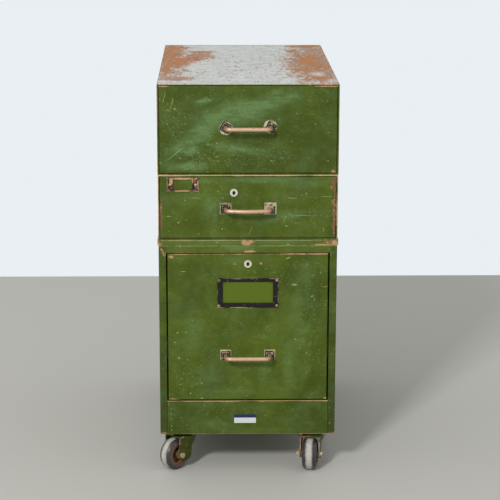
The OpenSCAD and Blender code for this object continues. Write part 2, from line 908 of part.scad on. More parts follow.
// A domed rivet through the drawer front, standing on a seat that lies proud of it.
module rivet(x, z, r, seat) {
    dome = r * dome_share;
    ball = (r * r + dome * dome) / (2 * dome);
    translate([x, -seat, z]) {
        intersection() {
            translate([0, ball - dome, 0]) sphere(ball);
            rod_y(0, 0, r, -dome, 0);
        }
        rod_y(0, 0, rivet_shank_r, -dome / 2, seat + sheet + rivet_tail / 2);
        rod_y(0, 0, rivet_tail_r, seat + sheet, seat + sheet + rivet_tail);
    }
}

module lower_card_holder() {
    translate([0, front_y, lower_z + large_holder_z])
    difference() {
        card_holder(large_holder_w, large_holder_h, large_side, large_top, large_bottom);
        for (p = large_rivet_spots())
            rod_y(p[0], p[1] - large_holder_z, rivet_shank_r, -holder_t - past, past);
    }
}

module lower_drawer_studs() {
    color("dimgray") translate([0, front_y, lower_z]) {
        for (p = large_rivet_spots()) rivet(p[0], p[1], stud_r, holder_t);
        for (s = [-1, 1]) rivet(s * stud_offset, lower_lock_z, stud_r, 0);
    }
}

module middle_card_holder() {
    translate([small_holder_x, front_y, middle_z + small_holder_z])
    difference() {
        card_holder(small_holder_w, small_holder_h, small_side, small_edge, small_edge);
        for (p = middle_rivet_spots())
            rod_y(p[0] - small_holder_x, 0, rivet_shank_r, -holder_t - past, past);
    }
}

module middle_drawer_rivets() {
    color("dimgray") translate([0, front_y, middle_z])
        for (p = middle_rivet_spots()) rivet(p[0], p[1], small_rivet_r, holder_t);
}

// ---------------------------------------------------------------- stacking bolts

// The holes that the stacking bolts pass at height z.
module stacking_holes(z) {
    for (x = [-bolt_x, bolt_x], y = bolt_y)
        translate([x, y, z - 2 * sheet]) cylinder(r = bolt_r, h = 4 * sheet);
}

// A bolt with its head over the upper sheet and its nut under the lower one.
module stacking_bolt(upper, lower) {
    nut_z = lower - bolt_head_t;
    translate([0, 0, nut_z]) cylinder(r = bolt_r, h = upper - nut_z);
    translate([0, 0, upper]) cylinder(r = bolt_head_r, h = bolt_head_t, $fn = 6);
    translate([0, 0, nut_z]) difference() {
        cylinder(r = bolt_head_r, h = bolt_head_t, $fn = 6);
        translate([0, 0, -past]) cylinder(r = bolt_r, h = bolt_head_t + 2 * past);
    }
}

module stacking_bolts() {
    color("gray") for (x = [-bolt_x, bolt_x], y = bolt_y) translate([x, front_y + y, 0]) {
        stacking_bolt(middle_z + sheet, rail_z - sheet);
        stacking_bolt(top_z + sheet, top_z - sheet);
    }
}

// ---------------------------------------------------------------- casters

module at_mount_bolts() {
    for (x = [-bolt_spread, bolt_spread], y = [-bolt_spread, bolt_spread])
        translate([x, y, 0]) children();
}

// The holes in the lower case's floor for the casters' bolts.
module caster_holes() {
    for (s = swivels) translate([s[0], s[1] - front_y, 0]) at_mount_bolts()
        translate([0, 0, -past]) cylinder(r = mount_bolt_r, h = sheet + 2 * past);
}

module caster_plates() {
    color("darkkhaki") for (s = swivels) translate([s[0], s[1], mount_z])
        difference() {
            union() {
                translate([0, -mount_side / 2, 0]) linear_extrude(mount_t)
                    rounded_rect(mount_side, mount_side, mount_corner);
                translate([0, 0, crown_z + fork_t + touch_gap - mount_z])
                    cylinder(r = race_r, h = mount_z - crown_z - fork_t - touch_gap + mount_t / 2);
            }
            at_mount_bolts() translate([0, 0, -past]) cylinder(r = mount_bolt_r, h = mount_t + 2 * past);
            translate([0, 0, -race_r]) cylinder(r = kingpin_r, h = race_r + mount_t + past);
            translate([0, 0, mount_t / 2]) cylinder(r = kingpin_rivet_r, h = mount_t);
        }
}

// Bolts and nuts of the plates, and the riveted kingpins.
module caster_fasteners() {
    color("darkgoldenrod") for (s = swivels) translate([s[0], s[1], 0]) {
        at_mount_bolts() {
            translate([0, 0, mount_z - mount_head_t]) {
                cylinder(r = mount_head_r, h = mount_head_t, $fn = 6);
                cylinder(r = mount_bolt_r, h = mount_head_t + mount_t + sheet + mount_nut_t + past);
            }
            translate([0, 0, lower_z + sheet]) difference() {
                cylinder(r = mount_head_r, h = mount_nut_t, $fn = 6);
                translate([0, 0, -past]) cylinder(r = mount_bolt_r, h = mount_nut_t + 2 * past);
            }
        }
        translate([0, 0, crown_z - touch_gap]) cylinder(r = kingpin_r, h = caster_h - crown_z);
        translate([0, 0, crown_z - touch_gap - kingpin_head_t])
            cylinder(r = kingpin_head_r, h = kingpin_head_t);
        translate([0, 0, mount_z + mount_t / 2]) cylinder(r = kingpin_rivet_r, h = mount_t / 2);
    }
}

// The children, placed at caster i with the axle along X and the wheel towards -Y.
module at_caster(i) {
    translate([swivels[i][0], swivels[i][1], 0]) rotate([0, 0, swivels[i][2]]) children();
}

// The point where a line from p touches the circle of radius r about c, on the given side.
function touch_point(p, c, r, side) =
    let (d = p - c, a = atan2(d[1], d[0]) + side * acos(r / norm(d)))
    c + r * [cos(a), sin(a)];

// Outline of a fork leg seen from the side, without the round ends at its boss and its heel.
module leg_outline() {
    axle = [-trail, wheel_r];
    heel = [heel_back - trail, wheel_r];
    knee = [-trail - leg_lead, crown_z - cup_h / 2];
    lean = acos((fork_boss_r - heel_r) / heel_back);
    under = [cos(lean), -sin(lean)];
    polygon([
        [knee[0], crown_z + fork_t], [heel[0] + heel_r, crown_z + fork_t], [heel[0] + heel_r, wheel_r],
        heel + heel_r * under, axle + fork_boss_r * under, touch_point(knee, axle, fork_boss_r, 1), knee
    ]);
}

// A pressed fork: an inverted U with broad legs, flaring into a round cup under the plate.
module caster_fork(i) {
    color("darkolivegreen")
    at_caster(i)
    difference() {
        union() {
            intersection() {
                translate([-fork_outer, 0, 0]) rotate([90, 0, 90]) linear_extrude(2 * fork_outer) union() {
                    leg_outline();
                    translate([-trail, wheel_r]) circle(fork_boss_r);
                    translate([heel_back - trail, wheel_r]) circle(heel_r);
                }
                translate([0, wheel_r + trail, 0]) rotate([90, 0, 0]) linear_extrude(2 * (wheel_r + trail))
                    rounded_rect(2 * fork_outer, crown_z + fork_t, fork_bend);
            }
            translate([0, 0, crown_z - cup_h]) cylinder(r1 = fork_outer - cup_lap, r2 = crown_r, h = cup_h);
            translate([0, 0, crown_z]) cylinder(r = crown_r, h = fork_t);
        }
        translate([0, wheel_r + trail, -fork_bend]) rotate([90, 0, 0]) linear_extrude(2 * (wheel_r + trail))
            rounded_rect(2 * fork_inner, crown_z + fork_bend, fork_bend - fork_t);
        translate([0, 0, crown_z - cup_h])
            cylinder(r1 = fork_inner - cup_lap, r2 = crown_r - fork_t, h = cup_h);
        cylinder(r = kingpin_r + fit, h = caster_h);
        translate([-fork_outer - past, -trail, wheel_r]) rotate([0, 90, 0])
            cylinder(r = axle_r, h = 2 * (fork_outer + past));
    }
}

// The axle bolt, with its head at +X and its nut at -X.
module caster_axle(i) {
    color("darkgoldenrod")
    at_caster(i) translate([0, -trail, wheel_r]) rotate([0, 90, 0]) {
        translate([0, 0, -fork_outer - axle_nut_t - axle_tail])
            cylinder(r = axle_r, h = 2 * fork_outer + axle_nut_t + axle_tail);
        translate([0, 0, fork_outer]) cylinder(r = axle_head_r, h = axle_head_t);
        translate([0, 0, -fork_outer - axle_nut_t]) difference() {
            cylinder(r = axle_nut_r, h = axle_nut_t, $fn = 6);
            translate([0, 0, -past]) cylinder(r = axle_r, h = axle_nut_t + 2 * past);
        }
    }
}

// A pressed wheel centre: boss, web and rim.
module caster_hub(i) {
    rim_r = hub_r - hub_wall;
    color("sienna")
    at_caster(i) translate([0, -trail, wheel_r]) rotate([0, 90, 0]) rotate_extrude()
        polygon([
            [axle_r + fit, -hub_half], [hub_boss_r, -hub_half], [hub_boss_r, -hub_web / 2],
            [rim_r, -hub_web / 2], [rim_r, -hub_rim / 2], [hub_r, -hub_rim / 2],
            [hub_r, hub_rim / 2], [rim_r, hub_rim / 2], [rim_r, hub_web / 2],
            [hub_boss_r, hub_web / 2], [hub_boss_r, hub_half], [axle_r + fit, hub_half]
        ]);
}

// A rubber tyre with well-rounded shoulders.
module caster_tyre(i) {
    color("dimgray")
    at_caster(i) translate([0, -trail, wheel_r]) rotate([0, 90, 0]) rotate_extrude()
        intersection() {
            translate([hub_r + fit, -tyre_w / 2]) square([wheel_r, tyre_w]);
            translate([wheel_r, 0]) rotate(90) rounded_rect(tyre_w, 2 * wheel_r, shoulder_r);
        }
}

// ---------------------------------------------------------------- the cabinet

lower_case_wrap();
lower_case_top();
lower_case_base();
lower_kick_panel();
lower_uprights();
lower_cabinet_rails();
lower_cradles();
lower_front_rollers();
lower_rear_rollers();
lower_drawer_front();
lower_drawer_liner();
lower_drawer_tray();
lower_drawer_rails();
lower_card_holder();
lower_drawer_studs();
lower_lock_body();
lower_lock_plug();
lower_lock_cam();
lower_handle_bar();
lower_handle_plates();
lower_handle_screws();
middle_base_rail();
middle_case_shell();
middle_drawer_front();
middle_drawer_tray();
middle_card_holder();
middle_drawer_rivets();
middle_lock_body();
middle_lock_plug();
middle_lock_cam();
middle_handle_bar();
middle_handle_plates();
middle_handle_screws();
top_case_shell();
top_drawer_front();
top_drawer_tray();
top_handle_bar();
top_handle_plates();
top_handle_screws();
upper_case_backs();
upper_runners();
stacking_bolts();
caster_plates();
caster_fasteners();
caster_fork(0);  // front_left_fork
caster_fork(1);  // front_right_fork
caster_fork(2);  // rear_left_fork
caster_fork(3);  // rear_right_fork
caster_axle(0);  // front_left_axle
caster_axle(1);  // front_right_axle
caster_axle(2);  // rear_left_axle
caster_axle(3);  // rear_right_axle
caster_hub(0);  // front_left_hub
caster_hub(1);  // front_right_hub
caster_hub(2);  // rear_left_hub
caster_hub(3);  // rear_right_hub
caster_tyre(0);  // front_left_tyre
caster_tyre(1);  // front_right_tyre
caster_tyre(2);  // rear_left_tyre
caster_tyre(3);  // rear_right_tyre
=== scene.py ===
"""Looks of a stacked steel drawer cabinet: worn green enamel, bare zinc, rust, rubber and a plain studio."""

import json
from collections import namedtuple
from functools import partial
from math import atan2, degrees, radians

import bmesh
import bpy
from bpy.props import FloatProperty, FloatVectorProperty, PointerProperty
from bpy.types import Operator, Panel, PropertyGroup, Scene
from mathutils import Matrix, Vector


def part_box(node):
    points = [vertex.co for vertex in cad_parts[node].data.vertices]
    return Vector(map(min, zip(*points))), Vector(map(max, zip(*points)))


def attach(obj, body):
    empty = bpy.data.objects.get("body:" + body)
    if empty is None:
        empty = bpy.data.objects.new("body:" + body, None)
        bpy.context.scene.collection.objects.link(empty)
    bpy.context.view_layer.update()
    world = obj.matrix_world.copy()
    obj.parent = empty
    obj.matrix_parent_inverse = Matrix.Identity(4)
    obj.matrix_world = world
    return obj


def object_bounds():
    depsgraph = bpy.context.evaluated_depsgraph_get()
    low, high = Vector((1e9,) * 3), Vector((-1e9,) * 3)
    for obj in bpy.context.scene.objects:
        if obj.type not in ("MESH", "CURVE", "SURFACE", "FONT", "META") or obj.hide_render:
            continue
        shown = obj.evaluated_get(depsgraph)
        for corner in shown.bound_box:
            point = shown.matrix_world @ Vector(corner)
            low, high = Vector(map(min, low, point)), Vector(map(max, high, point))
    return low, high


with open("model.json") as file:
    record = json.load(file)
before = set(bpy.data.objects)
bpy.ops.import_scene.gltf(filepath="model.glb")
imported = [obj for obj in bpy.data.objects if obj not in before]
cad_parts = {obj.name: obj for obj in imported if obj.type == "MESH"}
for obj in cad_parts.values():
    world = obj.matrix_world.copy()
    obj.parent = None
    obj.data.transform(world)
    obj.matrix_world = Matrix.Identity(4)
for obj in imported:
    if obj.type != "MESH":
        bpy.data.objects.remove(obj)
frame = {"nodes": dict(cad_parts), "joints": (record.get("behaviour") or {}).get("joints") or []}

bl_info = {
    "name": "Steel Drawer Cabinet",
    "version": (1, 0, 0),
    "blender": (4, 5, 0),
    "location": "View3D > Sidebar > Cabinet",
    "description": "Dresses a stacked steel drawer cabinet on casters and sets up its studio",
    "category": "Object",
}

NODES = frame["nodes"]
JOINTS = {joint["name"]: joint for joint in frame["joints"]}
CAD_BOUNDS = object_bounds()
CORNERS = ("front_left", "front_right", "rear_left", "rear_right")
SIDES = {"left": (0, 0), "right": (0, 1), "front": (1, 0), "back": (1, 1), "bottom": (2, 0), "top": (2, 1)}
SENSOR_WIDTH = 36

# A distance past all others here.
FAR = 100.0

# Most of a noise lies in this span below its high end.
NOISE_HIGH = 0.66
NOISE_SPAN = 0.32
GRAINS = (0.004, 0.008, 0.016, 0.032, 0.064)

# How much the enamel and the zinc mirror.
ENAMEL_GLOSS = 0.2
ZINC_GLOSS = 0.1

# How deep a spot reaches, and how far the zinc comes down from the top, in metres.
SPOT_DEPTH = 0.02
TOP_FOLD = 0.00105

# Half sizes of marks about a handle's foot and of the painted shade about a keyhole, and how high or low the
# washers sat.
PLATE_REACH = 0.0195
PLATE_EDGE = 0.01
PLATE_LINE = (0.00645, 0.00735)
WASHER_RADIUS = 0.0142
WASHER_SHIFT = 0.0022
KEYHOLE_SHADE = (0.0034, FAR, 0.0046)

# Distances from a wheel's axle. The cut edges and the tread's half width are from its middle plane.
AXLE_BOSS = 0.0135
FORK_CUT_EDGE = (0.01975, 0.02225)
HUB_RIM = 0.01825
TREAD_HALF = 0.0065
TREAD_RADIUS = 0.03225
STAIN_RADIUS = 0.02875

# The turns in degrees of a handle's left and right plates, and the share of each that has gone pale.
HANDLE_PLATES = {
    "lower": ((0, 0), (0.1, 0.2)),
    "middle": ((0, 0), (0.1, 0.65)),
    "top": ((30, 25), (0.15, 0.2)),
}


def tone(red, green, blue):
    """A colour given as 0 to 255 for each channel, in Blender's linear light."""
    shares = (channel / 255 for channel in (red, green, blue))
    return tuple(s / 12.92 if s < 0.04045 else ((s + 0.055) / 1.055) ** 2.4 for s in shares)


# -------- settings


def colour_property(name, description, *channels):
    return FloatVectorProperty(
        name=name, description=description, default=tone(*channels), subtype="COLOR", size=3, min=0, max=1
    )


def length_property(name, description, size):
    return FloatProperty(name=name, description=description, default=size, subtype="DISTANCE", unit="LENGTH")


def place_property(name, description, place):
    return FloatVectorProperty(
        name=name, description=description, default=place, subtype="TRANSLATION", unit="LENGTH", size=3
    )


class CabinetEnamel(PropertyGroup):
    """Colours of the enamel and of what shows where it has gone."""

    green: colour_property("Green", "Enamel where it is sound", 82, 98, 14)
    deep_green: colour_property("Deep green", "Enamel in its darker clouds", 61, 75, 9)
    faded_green: colour_property("Faded green", "Enamel where it is rubbed and chalky", 97, 125, 74)
    fresh_green: colour_property("Fresh green", "Enamel that a card has covered", 86, 105, 22)
    fleck: colour_property("Fleck", "Small pale marks in the enamel", 158, 176, 122)
    black: colour_property("Black", "Black enamel of the handle plates and card holders", 28, 28, 27)
    bare: colour_property("Bare metal", "Edges rubbed through to the metal", 188, 152, 112)
    brown: colour_property("Brown metal", "Edges that have gone brown", 126, 92, 66)
    cream: colour_property("Cream", "Pale undercoat along worn rims", 214, 202, 172)
    edge_width: length_property("Edge wear", "Usual width of the wear along an edge", 0.0012)


class CabinetMetal(PropertyGroup):
    """Colours of the metals and of the rubber."""

    zinc: colour_property("Zinc", "Galvanised top of the upper case", 220, 224, 222)
    dull_zinc: colour_property("Dull zinc", "Darker streaks in the zinc", 194, 195, 189)
    rust: colour_property("Rust", "Rust on bare sheet", 158, 112, 78)
    bright_rust: colour_property("Bright rust", "Orange heart of the rust", 196, 118, 54)
    pale_rust: colour_property("Pale rust", "Thin rust that the zinc shows through", 182, 142, 110)
    dark_rust: colour_property("Dark rust", "Rust on the wheel centres", 112, 78, 54)
    copper: colour_property("Copper", "Handles, rubbed bare", 206, 168, 136)
    nickel: colour_property("Nickel", "Yellowed faces of the locks", 214, 212, 194)
    steel: colour_property("Steel", "Rails, cradles and cams", 150, 150, 146)
    brass: colour_property("Passivated steel", "Bolts of the casters", 198, 182, 138)
    rubber: colour_property("Rubber", "Tyres", 54, 51, 54)
    dust: colour_property("Dust", "Dust on the treads", 188, 184, 174)


class CabinetSticker(PropertyGroup):
    """Sizes and colours of the blank sticker on the kick panel."""

    width: length_property("Width", "Width of the sticker", 0.0475)
    height: length_property("Height", "Height of the sticker", 0.0194)
    band: length_property("Band", "Height of its coloured band", 0.0073)
    thickness: length_property("Thickness", "Thickness of the sticker", 0.0003)
    corner: length_property("Corner", "Radius of its corners", 0.0008)
    offset: length_property("Offset", "Distance of its middle from the panel's middle", -0.0055)
    rise: length_property("Rise", "Height of its middle over the panel's lowest edge", 0.0348)
    band_colour: colour_property("Band colour", "Upper band", 22, 29, 76)
    paper_colour: colour_property("Paper colour", "Blank lower part", 208, 218, 216)
    grime: colour_property("Grime", "Dirt on the paper", 120, 116, 100)


class CabinetStudio(PropertyGroup):
    """The floor, the background, the lamp and the camera."""

    floor: colour_property("Floor", "Floor", 196, 195, 188)
    wall: colour_property("Background", "What is seen past the floor", 233, 239, 243)
    floor_back: length_property("Floor's end", "Distance from the middle to the far end of the floor", 1.367)
    floor_reach: length_property("Floor's reach", "How far the floor runs to the other sides", 6.0)
    key_watts: FloatProperty(name="Key lamp", description="Power of the lamp in watts", default=250.0, min=0)
    key_side: length_property("Key side", "Side of the square key lamp", 0.9)
    key_place: place_property("Key place", "Where the key lamp stands", (-2.4, -5.4, 3.98))
    sky: FloatProperty(name="Sky", description="Strength of the light from all round", default=0.58, min=0)
    lens: FloatProperty(name="Lens", description="Focal length of the camera in millimetres", default=122.4)
    camera_place: place_property("Camera place", "Where the camera stands", (-0.0711, -3.8294, 1.3714))
    camera_turn: FloatVectorProperty(
        name="Camera turn", description="Tilt down, turn to the right and roll of the camera",
        default=(radians(13.909), radians(1.2295), radians(0.136)), subtype="EULER", unit="ROTATION", size=3
    )


SETTINGS = {
    "cabinet_enamel": CabinetEnamel,
    "cabinet_metal": CabinetMetal,
    "cabinet_sticker": CabinetSticker,
    "cabinet_studio": CabinetStudio,
}


# -------- materials


class Socket:
    """A node's output, on which Python's operators add Math nodes."""

    def __init__(self, tree, link):
        self.tree = tree
        self.link = link

    def __add__(self, other):
        return self.tree.math("ADD", self, other)

    def __sub__(self, other):
        return self.tree.math("SUBTRACT", self, other)

    def __rsub__(self, other):
        return self.tree.math("SUBTRACT", other, self)

    def __mul__(self, other):
        return self.tree.math("MULTIPLY", self, other)

    def __truediv__(self, other):
        return self.tree.math("DIVIDE", self, other)

    def __abs__(self):
        return self.tree.math("ABSOLUTE", self)

    def __or__(self, other):
        return self.tree.math("MAXIMUM", self, other)

    def __and__(self, other):
        return self.tree.math("MINIMUM", self, other)

    __radd__ = __add__
    __rmul__ = __mul__
    __ror__ = __or__
    __rand__ = __and__

    def sibling(self, output):
        """Another output of the same node."""
        return Socket(self.tree, self.link.node.outputs[output])


class Tree:
    """The nodes of a material or a world, which are set up and linked as they are added."""

    def __init__(self, owner):
        owner.use_nodes = True
        self.nodes = owner.node_tree.nodes
        self.links = owner.node_tree.links
        self.nodes.clear()

    def add(self, kind, settings=None, sockets=None, output=0):
        """Adds a node, sets it up, fills or links its sockets and returns one of its outputs."""
        node = self.nodes.new(kind)
        for name, value in (settings or {}).items():
            setattr(node, name, value)
        for name, value in (sockets or {}).items():
            self.fill(node.inputs[name], value)
        return Socket(self, node.outputs[output]) if node.outputs else None

    def fill(self, entry, value):
        if isinstance(value, Socket):
            self.links.new(value.link, entry)
        elif entry.type == "RGBA":
            entry.default_value = (*value[:3], 1.0)
        else:
            entry.default_value = value

    def math(self, operation, *values):
        return self.add("ShaderNodeMath", {"operation": operation}, dict(enumerate(values)))


class Finish(Tree):
    """One material: patterns measured in metres, masks from 0 to 1 and the shader."""

    def __init__(self, name):
        self.material = bpy.data.materials.new(name)
        super().__init__(self.material)
        self.shader = self.add("ShaderNodeBsdfPrincipled")
        self.add("ShaderNodeOutputMaterial", sockets={"Surface": self.shader})
        self.place = self.add("ShaderNodeTexCoord", output="Object")
        self.xyz = self.split(self.place)
        self.facing = self.split(self.place.sibling("Normal"))
        self.known = {}

    def split(self, vector):
        x = self.add("ShaderNodeSeparateXYZ", sockets={"Vector": vector})
        return x, x.sibling("Y"), x.sibling("Z")

    def placed(self, centre=(0, 0, 0), turn=(0, 0, 0), size=(1, 1, 1)):
        """The coordinates as seen from a centre, turned in degrees, and measured in sizes."""
        turned = [radians(angle) for angle in turn]
        sockets = {"Vector": self.place, "Location": centre, "Rotation": turned, "Scale": size}
        return self.add("ShaderNodeMapping", {"vector_type": "TEXTURE"}, sockets)

    def noise(self, size, detail=4.0, roughness=0.6, turn=(0, 0, 0)):
        """Clouds from 0 to 1 that measure size metres, or three sizes along the turned axes."""
        key = (size, detail, roughness, turn)
        if key not in self.known:
            long = isinstance(size, tuple)
            self.known[key] = self.add("ShaderNodeTexNoise", sockets={
                "Vector": self.placed(turn=turn, size=size) if long else self.place,
                "Scale": 1.0 if long else 1 / size,
                "Detail": detail, "Roughness": roughness,
            })
        return self.known[key]

    def fade(self, value, low, high):
        """0 at low and 1 at high, with soft ends."""
        sockets = {"Value": value, "From Min": low, "From Max": high}
        return self.add("ShaderNodeMapRange", {"interpolation_type": "SMOOTHSTEP"}, sockets)

    def step(self, value, edge, soft):
        """0 below an edge and 1 above it, soft by that much to each side. A minus turns it round."""
        return self.fade(value, edge - soft, edge + soft)

    def band(self, value, low, high, soft):
        """1 between low and high, with soft ends."""
        return self.step(value, low, soft) & self.step(value, high, -soft)

    def uneven(self, amount, size, *how):
        """Noise about 0, up to half the amount to each side."""
        return (self.noise(size, *how) - 0.5) * amount

    def patches(self, size, share, soft=0.1, detail=4.0):
        """Clouds that cover about the given share of the surface."""
        return self.step(self.noise(size, detail, 0.65), NOISE_HIGH - NOISE_SPAN * share, soft / 2)

    def flecks(self, size, share, radius):
        """Round spots on a share of the cells of a loose grid of the given size in metres."""
        near = self.add("ShaderNodeTexVoronoi", sockets={"Vector": self.place, "Scale": 1 / size})
        chance = self.split(near.sibling("Color"))[0]
        inside = self.step(near + self.uneven(0.3, size / 3), radius, -radius / 4)
        return inside * self.fade(chance, 1 - share, 1 - share * 0.8)

    def mix(self, factor, one, other):
        """One colour, turning into the other as the factor goes from 0 to 1."""
        return self.add("ShaderNodeMix", {"data_type": "RGBA"}, {0: factor, 6: one, 7: other}, output=2)

    def length(self, vector):
        return self.add("ShaderNodeVectorMath", {"operation": "LENGTH"}, {0: vector}, output="Value")

    def surface(self, colour, roughness, metallic=0.0, height=None, relief=0.0002, gloss=0.5):
        """Fills the shader. The height, from 0 to 1, lifts the surface by the relief in metres."""
        look = {
            "Base Color": colour, "Roughness": roughness, "Metallic": metallic, "Specular IOR Level": gloss,
        }
        if height is not None:
            look["Normal"] = self.add("ShaderNodeBump", sockets={"Distance": relief, "Height": height})
        for name, value in look.items():
            self.fill(self.shader.link.node.inputs[name], value)
        return self.material


# Where a spot lies in shares of its side, its half sizes in metres and its turn in degrees.
Spot = namedtuple("Spot", "across up half_w half_h turn", defaults=(0,))


def palettes():
    """The colours of the enamel and of the metals, as they are set."""
    scene = bpy.context.scene
    return scene.cabinet_enamel, scene.cabinet_metal


def spot(finish, box, place, depth_axis=1, ragged=1.0, soft=0.5):
    """An uneven patch on the front or the top of a box, placed by shares of that side's width and height."""
    low, high = box
    across_axis, up_axis = [axis for axis in range(3) if axis != depth_axis]
    centre = [low.x, low.y, high.z if depth_axis == 2 else low.z]
    centre[across_axis] += place.across * (high[across_axis] - low[across_axis])
    centre[up_axis] += place.up * (high[up_axis] - low[up_axis])
    size = [SPOT_DEPTH] * 3
    size[across_axis] = place.half_w
    size[up_axis] = place.half_h
    turn = [0, 0, 0]
    turn[depth_axis] = place.turn
    reach = finish.length(finish.placed(centre, turn, size))
    grain = min(GRAINS, key=lambda g: abs(g - (place.half_w + place.half_h) / 2))
    torn = finish.uneven(2 * ragged, grain, 6.0, 0.7) + finish.uneven(ragged, GRAINS[0] / 2)
    return finish.step(reach + torn, 1.0, -soft / 2)


def spots(finish, box, rows, **how):
    """Several spots, each given as a row of its numbers, joined into one mask."""
    mask = 0.0
    for row in rows:
        mask = spot(finish, box, Spot(*row), **how) | mask
    return mask


def edge_wear(finish, box, sides, width):
    """A ragged line on a box's faces along the named sides, each at its own share of the width."""
    nearest = FAR
    for side, share in sides.items():
        axis, end = SIDES[side]
        distance = (box[1][axis] - finish.xyz[axis]) if end else (finish.xyz[axis] - box[0][axis])
        lies_in_side = finish.fade(abs(finish.facing[axis]), 0.6, 0.95) * FAR
        nearest = (distance / (width * share) + lies_in_side) & nearest
    reach = finish.fade(finish.noise(0.05), 0.3, 0.7) * 1.3 + 0.45
    return finish.step(nearest / reach + finish.uneven(0.9, GRAINS[1], 5.0, 0.7), 1.0, -0.3)


def bare_metal(finish, brown=0.4):
    """Tan to brown steel, as it shows where the enamel has gone."""
    enamel, _ = palettes()
    return finish.mix(finish.patches(0.012, brown, 0.16, 5.0), enamel.bare, enamel.brown)


def scratches(finish, turn, share):
    """Fine straight marks that lie at one angle on the fronts and gather in patches."""
    lines = finish.noise((0.03, 0.06, 0.0014), 2.0, 0.5, (0, turn, 0))
    return finish.fade(lines, 0.67, 0.73) * finish.patches(0.05, share, 0.1, 2.0)


def enamel_finish(
    name, box, sides, bare=(), scuffs=(), speckled=(), covers=(), marks=(),
    deep=0.45, chalky=0.6, wear=1.0, brown=0.4, grime=0.0, joints=None, rims=None
):
    """Green enamel on a piece: clouds, scuffs, specks and scratches, rubbed bare at edges and spots.

    Deep and brown are shares of dark clouds and of brown metal. Chalky, wear and grime are strengths of the
    scuffs, of all fine marks and of the darkening towards the bottom of the piece. Joints names sides with
    dirt along them, and rims makes a mask of pale rims.
    """
    enamel, _ = palettes()
    finish = Finish(name)
    paint = finish.mix(finish.patches(0.1, 1 - deep, 0.35), enamel.deep_green, enamel.green)
    mottled = finish.fade(finish.noise(0.012, 7.0, 0.75), 0.4, 0.66) * 0.45
    paint = finish.mix(mottled, paint, enamel.deep_green)
    chalk = finish.patches(0.045, 0.35, 0.3, 7.0) * (0.3 * wear)
    if scuffs:
        brushed = finish.fade(finish.noise((0.06, 0.03, 0.018), 8.0, 0.75), 0.32, 0.64) * 0.75 + 0.25
        chalk = spots(finish, box, scuffs, ragged=1.2, soft=1.6) * brushed * chalky | chalk
    specks = finish.patches(0.07, 0.4, 0.3, 3.0) * 0.5 + 0.15
    if speckled:
        specks = spots(finish, box, speckled, ragged=0.7, soft=1.4) | specks
    chalk = finish.fade(finish.noise(0.006, 5.0, 0.75), 0.52, 0.64) * specks * wear | chalk
    paint = finish.mix(chalk, paint, enamel.faded_green)
    sheltered = spots(finish, box, covers, ragged=0.1, soft=0.1)
    if covers:
        paint = finish.mix(sheltered, paint, enamel.fresh_green)
    pale = finish.flecks(0.013, 0.3, 0.11) * (specks * 0.7 + 0.25)
    pale = pale | finish.flecks(0.006, 0.3, 0.17) * specks * 0.7
    for turn, share in ((38, 0.35), (-52, 0.3), (3, 0.3)):
        pale = scratches(finish, turn, share) * 0.35 | pale
    if marks:
        pale = spots(finish, box, marks, ragged=1.2) * 0.7 | pale
    pale = pale * wear * (1 - sheltered)
    paint = finish.mix(pale, paint, enamel.fleck)
    gone = edge_wear(finish, box, sides, enamel.edge_width)
    if bare:
        broken = finish.fade(finish.noise(0.005, 5.0, 0.75), 0.34, 0.46) * 0.75 + 0.25
        gone = spots(finish, box, bare, ragged=1.5, soft=0.6) * broken | gone
    if joints:
        dirt = edge_wear(finish, box, joints, enamel.edge_width) * 0.8
        paint = finish.mix(dirt, paint, enamel.black)
    # Darker towards the bottom: black mixed in over the lowest part of the piece, as strong as grime says.
    if grime:
        above_floor = (finish.xyz[2] - box[0].z) / (box[1].z - box[0].z)
        paint = finish.mix(finish.fade(above_floor, 0.95, 0.1) * grime, paint, enamel.black)
    colour = finish.mix(gone, paint, bare_metal(finish, brown))
    if rims:
        colour = finish.mix(rims(finish), colour, enamel.cream)
    roughness = 0.42 + chalk * 0.3 + gone * 0.12 + finish.noise(0.02) * 0.1
    height = finish.noise(0.0035, 2.0) * 0.25 - gone * 0.6 - pale * 0.2
    return finish.surface(colour, roughness, gone * 0.2, height, gloss=ENAMEL_GLOSS)


def metal_finish(name, colour, stain, size=0.008, share=0.35, metallic=0.6, roughness=0.38):
    """Plain metal with stains over a share of it."""
    finish = Finish(name)
    stained = finish.patches(size, share, 0.2, 5.0)
    rough = roughness + stained * 0.25 + finish.noise(0.004) * 0.1
    shine = metallic * (1 - stained * 0.6)
    return finish.surface(finish.mix(stained, colour, stain), rough, shine, finish.noise(0.002, 3.0), 0.0001)


def dress(material, *names):
    """Puts a material on CAD nodes."""
    for name in names:
        piece = NODES[name]
        if not piece.material_slots:
            piece.data.materials.append(material)
        for entry in piece.material_slots:
            entry.material = material


def enamel_node(name, node, *places, others=(), **look):
    """Enamels a CAD node, and others that look the same, with the wear placed on the node's own box."""
    dress(enamel_finish(name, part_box(node), *places, **look), node, *others)


def new_piece(name, mesh):
    """Turns a bmesh into an object of the scene."""
    bmesh.ops.recalc_face_normals(mesh, faces=mesh.faces)
    data = bpy.data.meshes.new(name)
    mesh.to_mesh(data)
    mesh.free()
    piece = bpy.data.objects.new(name, data)
    bpy.context.scene.collection.objects.link(piece)
    return piece


# -------- cases and drawers


